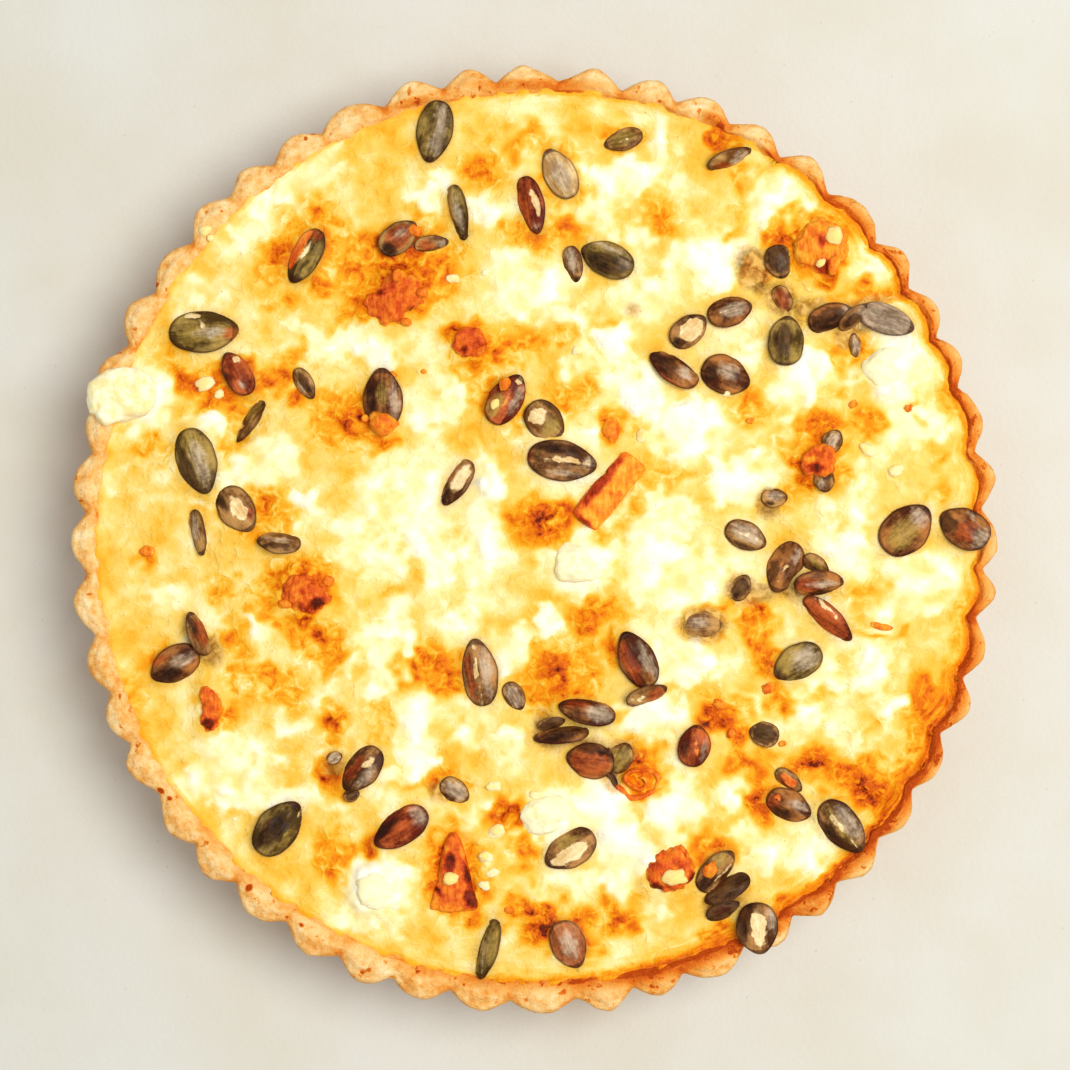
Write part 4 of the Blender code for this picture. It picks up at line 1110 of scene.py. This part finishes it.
# Striped pumpkin seeds
# The same hulled seeds. The skin of these burst along its length as the kernel swelled, and
# the cream kernel shows in the split.
make_kind("striped", (
    (("char", -0.2, 0.6, 0.7, 0.3), ("cream", 0.12, 0.03, 0.72, 0.15, 6), ("grey", 0.78, 0.1, 0.22, 0.3),
     ("rust", -0.95, 0, 0.1, 0.6), ("grey", 0.1, -0.6, 0.4, 0.2)),
    (("cream", -0.2, 0.3, 0.6, 0.4), ("char", 0.7, 0, 0.3, 0.35), ("rust", -0.3, -0.45, 0.4, 0.25)),
    (("cream", 0.1, 0, 0.65, 0.7), ("char", -0.8, 0, 0.2, 0.4), ("char", 0.6, 0.65, 0.3, 0.25),
     ("rust", 0, 0.05, 0.12, 0.2)),
    (("grey", 0, 0.5, 0.7, 0.4), ("olive", 0, -0.02, 0.9, 0.3), ("cream", 0, -0.02, 0.8, 0.14),
     ("char", -0.2, -0.7, 0.8, 0.25)),
    (("grey", -0.2, 0.75, 0.5, 0.25), ("cream", 0, 0.05, 0.72, 0.36), ("char", 0.1, -0.75, 0.7, 0.25),
     ("char", -0.9, -0.2, 0.15, 0.4)),
    (("cream", 0.1, 0.25, 0.75, 0.4), ("olive", -0.05, -0.4, 0.45, 0.35), ("char", 0.88, 0.3, 0.12, 0.4)),
    (("cream", -0.35, 0.1, 0.33, 0.26), ("grey", 0.1, 0.5, 0.5, 0.3), ("rust", 0.2, -0.4, 0.7, 0.33)),
    (("rust", 0, 0.5, 0.8, 0.3), ("cream", 0, 0.04, 0.9, 0.06, 3), ("grey", 0.1, -0.45, 0.8, 0.3)),
    (("olive", 0.4, 0.4, 0.5, 0.4), ("cream", 0.1, -0.3, 0.6, 0.09, -12), ("char", -0.6, 0.2, 0.6, 0.5)),
))


# Pale pumpkin seeds
# Two of the same hulled seeds, which the custard ran over before it set, so that their skin
# shows tan through its film. The broad pale patch on each is painted sheen.
make_kind("pale", (
    (("grey", -0.1, 0, 0.7, 0.6), ("rust", 0.97, 0, 0.1, 0.3)),
    (("grey", 0, 0.05, 0.6, 0.5), ("rust", 0, 0, 1.1, 1.1)),
))


# Small and sunken seeds
# Broken seeds, and seeds that sank until the custard closed over most of them. A row is x, y,
# heading, length, width, roll, height of the middle above the custard, and the marks.
SUNKEN_THICKNESS = 0.24           # as a share of the length
SUNKEN = (
    (21.7, 97.5, 198, 9.8, 5.5, 10, 0.6, (("cream", -0.1, 0.1, 0.6, 0.08), ("olive", 0, 0, 0.7, 0.7))),
    (-25, 72, 8, 8.5, 4.6, 30, 0.6, (("rust", -0.3, 0, 0.5, 0.6), ("grey", 0.6, 0, 0.3, 0.4))),
    (-33, 73.5, 40, 11, 7, 10, 0.9, (("rust", 0, 0.1, 0.7, 0.8), ("grey", 0.2, 0.2, 0.3, 0.3),
                                     ("char", -0.7, -0.2, 0.35, 0.7))),
    (9.5, 67, -80, 9, 5, 20, 0.6, (("grey", -0.2, 0, 0.7, 0.6), ("char", 0.85, 0, 0.2, 0.5))),
    (2.6, 29, -40, 11, 8.5, 0, 0.5, (("cream", -0.35, -0.1, 0.4, 0.5), ("olive", 0.4, 0, 0.35, 0.7),
                                     ("char", -0.5, 0.8, 0.5, 0.2))),
    (-55.8, 38, -60, 8.5, 4.6, 20, 0.9, (("char", 0, 0.2, 0.8, 0.5), ("grey", 0.1, -0.3, 0.4, 0.3))),
    (-69, 28.8, -123, 12, 7, 60, 0.8, (("olive", -0.4, 0.2, 0.5, 0.5), ("cream", 0.45, -0.25, 0.35, 0.22))),
    (-72.2, 7.4, -56, 12.4, 8.6, 0, 0.7, (("cream", 0, 0.1, 0.5, 0.45), ("char", -0.6, -0.5, 0.5, 0.3),
                                          ("rust", 0.4, 0.5, 0.3, 0.3))),
    (-81.6, 1.8, -80, 11.4, 7, 55, 0.9, (("grey", -0.2, 0.2, 0.6, 0.4), ("char", 0.6, -0.5, 0.4, 0.25))),
    (-62, -0.6, 175, 10.8, 6.4, 35, 1.0, (("char", 0, 0.5, 0.9, 0.3), ("grey", 0, 0, 0.6, 0.25))),
    (-81.8, -22.8, 112, 11.4, 7, 50, 1.2, (("rust", 0, 0, 0.6, 0.6), ("char", 0.4, 0.4, 0.5, 0.3))),
    (-19.3, -61, -35, 8, 5.5, 0, 0.2, (("grey", 0, 0, 0.8, 0.7), ("char", 0, -0.9, 0.6, 0.2))),
    (-4.8, -38, -60, 7.5, 4.8, 0, 0.7, (("grey", 0, 0, 0.8, 0.7), ("orange", 0, 0, 0.2, 0.2))),
    (21, -53, 60, 8, 6, 0, 0.4, (("olive", 0, 0, 0.8, 0.8),)),
    (27.3, -37.6, 20, 10.6, 6.5, 45, 1.4, (("rust", 0.4, 0, 0.5, 0.6), ("cream", -0.4, 0.3, 0.35, 0.2))),
    (41, -20.7, 0, 10, 7, 0, -0.1, (("grey", -0.2, 0.2, 0.5, 0.5),)),
    (51.5, 1.0, -25, 10.8, 6.8, 0, 1.0, (("grey", 0, 0.2, 0.8, 0.6), ("cream", 0, 0.1, 0.6, 0.14, 10),
                                      ("char", 0, -0.8, 0.6, 0.2))),
    (68.6, -6.2, -38, 7.6, 4.6, 20, 1.0, (("char", 0.3, -0.4, 0.7, 0.4), ("olive", 0, 0.2, 0.6, 0.4))),
    (50.2, -11.6, 60, 7, 5, 0, 0.1, (("char", 0, 0, 0.8, 0.8),)),
    (18.6, -53.5, -80, 6, 1.6, 0, 0.3, (("char", 0, 0, 1, 1),)),
    (17.6, -56.5, -50, 5, 1.4, 0, 0.3, (("char", 0, 0, 1, 1),)),
    (19.4, -58.5, -70, 5.5, 1.5, 0, 0.3, (("char", 0, 0, 1, 1),)),
    (4.2, -44.6, 14, 7, 3.4, 30, 1.0, (("char", 0, 0, 1, 1),)),
    (55.9, -47.2, 165, 7.4, 6, 0, 1.1, (("char", 0, 0, 0.9, 0.9), ("olive", 0, 0, 0.5, 0.5))),
    (62, -58.5, -40, 8, 4.5, 20, 0.9, (("orange", 0, 0.1, 0.6, 0.5), ("rust", 0, -0.5, 0.7, 0.4))),
    (46.8, -84.8, 210, 12.5, 6.4, 35, 1.1, (("char", 0, 0, 1.2, 1.2), ("rust", 0.2, -0.5, 0.5, 0.3))),
    (46, -90, 22, 9, 4.6, 20, 0.5, (("char", 0, 0, 1.2, 1.2), ("rust", 0, 0.2, 0.5, 0.5))),
    (47.5, 92.8, 22, 11.5, 6.5, 55, 0.7, (("rust", -0.4, 0, 0.4, 0.5), ("grey", 0.4, 0, 0.4, 0.5))),
    (59.5, 67.6, -75, 8.4, 6.8, 0, 1.0, (("char", -0.2, 0, 0.9, 0.9), ("grey", 0.1, 0.1, 0.5, 0.4))),
    (60.4, 58.6, -65, 7, 4.6, 10, 0.0, (("rust", 0, 0, 0.8, 0.7),)),
    (77.5, 54.2, 42, 9, 4.4, 30, 0.9, (("char", -0.2, 0, 0.6, 0.6), ("grey", 0.6, 0, 0.4, 0.5))),
    (78.2, 47.4, 100, 6, 3, 0, 0.1, (("grey", 0, 0, 0.8, 0.6),)),
    (72.5, 24, 60, 6, 5, 0, 0.9, (("grey", 0, 0, 0.8, 0.6),)),
    (70.5, 14.5, -80, 6, 5, 0, 0.9, (("char", -0.3, 0.3, 0.5, 0.5), ("grey", 0.3, -0.3, 0.4, 0.4))),
    (58.5, 10.3, 0, 6.5, 4.5, 0, 0.8, (("grey", 0, 0.2, 0.6, 0.5), ("char", -0.3, -0.6, 0.4, 0.3))),
    (-48.5, -53, 20, 4, 3, 0, 0.0, (("grey", 0, 0, 0.8, 0.8),)),
    (-44.3, -62, 20, 4, 3.2, 0, 0.6, (("char", 0, 0, 0.8, 0.8),)),
)


def sunken_seat(x, y, heading, length, width, roll, lift):
    cos, sin = cos_sin(heading)
    flat, rise = cos_sin(roll)
    along = np.array((cos, sin, 0))
    aside = np.array((-sin * flat, cos * flat, rise))
    axes = np.stack((along, aside, np.cross(along, aside)))
    middle = np.array((x, y, custard_at(x, y) + lift))
    return middle, axes, (length, width, length * SUNKEN_THICKNESS)


sunken_rows = [(sunken_seat(*row[:7]), row[7]) for row in SUNKEN]
make_seeds("seeds_sunken", sunken_rows, seed_material("sunk"), ())


# Floor, light and camera
# A plain pale tabletop under the quiche, one broad soft lamp above its right shoulder, and
# pale surroundings. The camera looks straight down.
FLOOR_SIDE = 6.0
CAMERA_HEIGHT = 0.750
VIEW_WIDTH = 0.260                # what the camera takes in at the rim, in metres
SENSOR = 36.0
CAMERA_OFF = (0.0002, 0.0012)     # how far the camera is off the middle
LAMP_PLACE = (0.42, 0.10, 1.10)
LAMP_WIDTH = 0.7
LAMP_WATTS = 11.5
LAMP_COLOUR = (1.0, 0.97, 0.92)
ROOM_COLOUR = (1.0, 0.985, 0.96, 1)
ROOM_STRENGTH = 0.56
tabletop, wire, shader = new_material("pale_tabletop")
stain = wire.grain(60, 4, 0.55)
plaster = stain.between(0.35, 0.7).tint(colour(213, 214, 207), colour(209, 206, 193))
plaster = ((1 - wire.cells(7).between(0.02, 0.05)) * 0.35).tint(plaster, colour(176, 160, 136))
finish_with(wire, shader, plaster, 0.75 + stain * 0.1, wire.grain(1.5, 4), 0.15)
bpy.ops.mesh.primitive_plane_add(size=FLOOR_SIDE)
floor = bpy.context.object
floor.name = "floor"
floor.data.materials.append(tabletop)

world = bpy.data.worlds.new("pale_room")
bpy.context.scene.world = world
world.use_nodes = True
surroundings = world.node_tree.nodes["Background"]
surroundings.inputs["Color"].default_value = ROOM_COLOUR
surroundings.inputs["Strength"].default_value = ROOM_STRENGTH

lamp_data = bpy.data.lights.new("soft_lamp", "AREA")
lamp_data.shape = "DISK"
lamp_data.size = LAMP_WIDTH
lamp_data.energy = LAMP_WATTS
lamp_data.color = LAMP_COLOUR
lamp = add_object("soft_lamp", lamp_data)
lamp.location = LAMP_PLACE
lamp.rotation_euler = lamp.location.to_track_quat("Z", "Y").to_euler()

camera_data = bpy.data.cameras.new("camera")
camera_data.sensor_width = SENSOR
camera_data.lens = SENSOR * CAMERA_HEIGHT / VIEW_WIDTH
camera = add_object("camera", camera_data)
camera.location = (*CAMERA_OFF, CASE_HEIGHT * MM + CAMERA_HEIGHT)
bpy.context.scene.camera = camera
bpy.context.scene.view_settings.view_transform = "Standard"
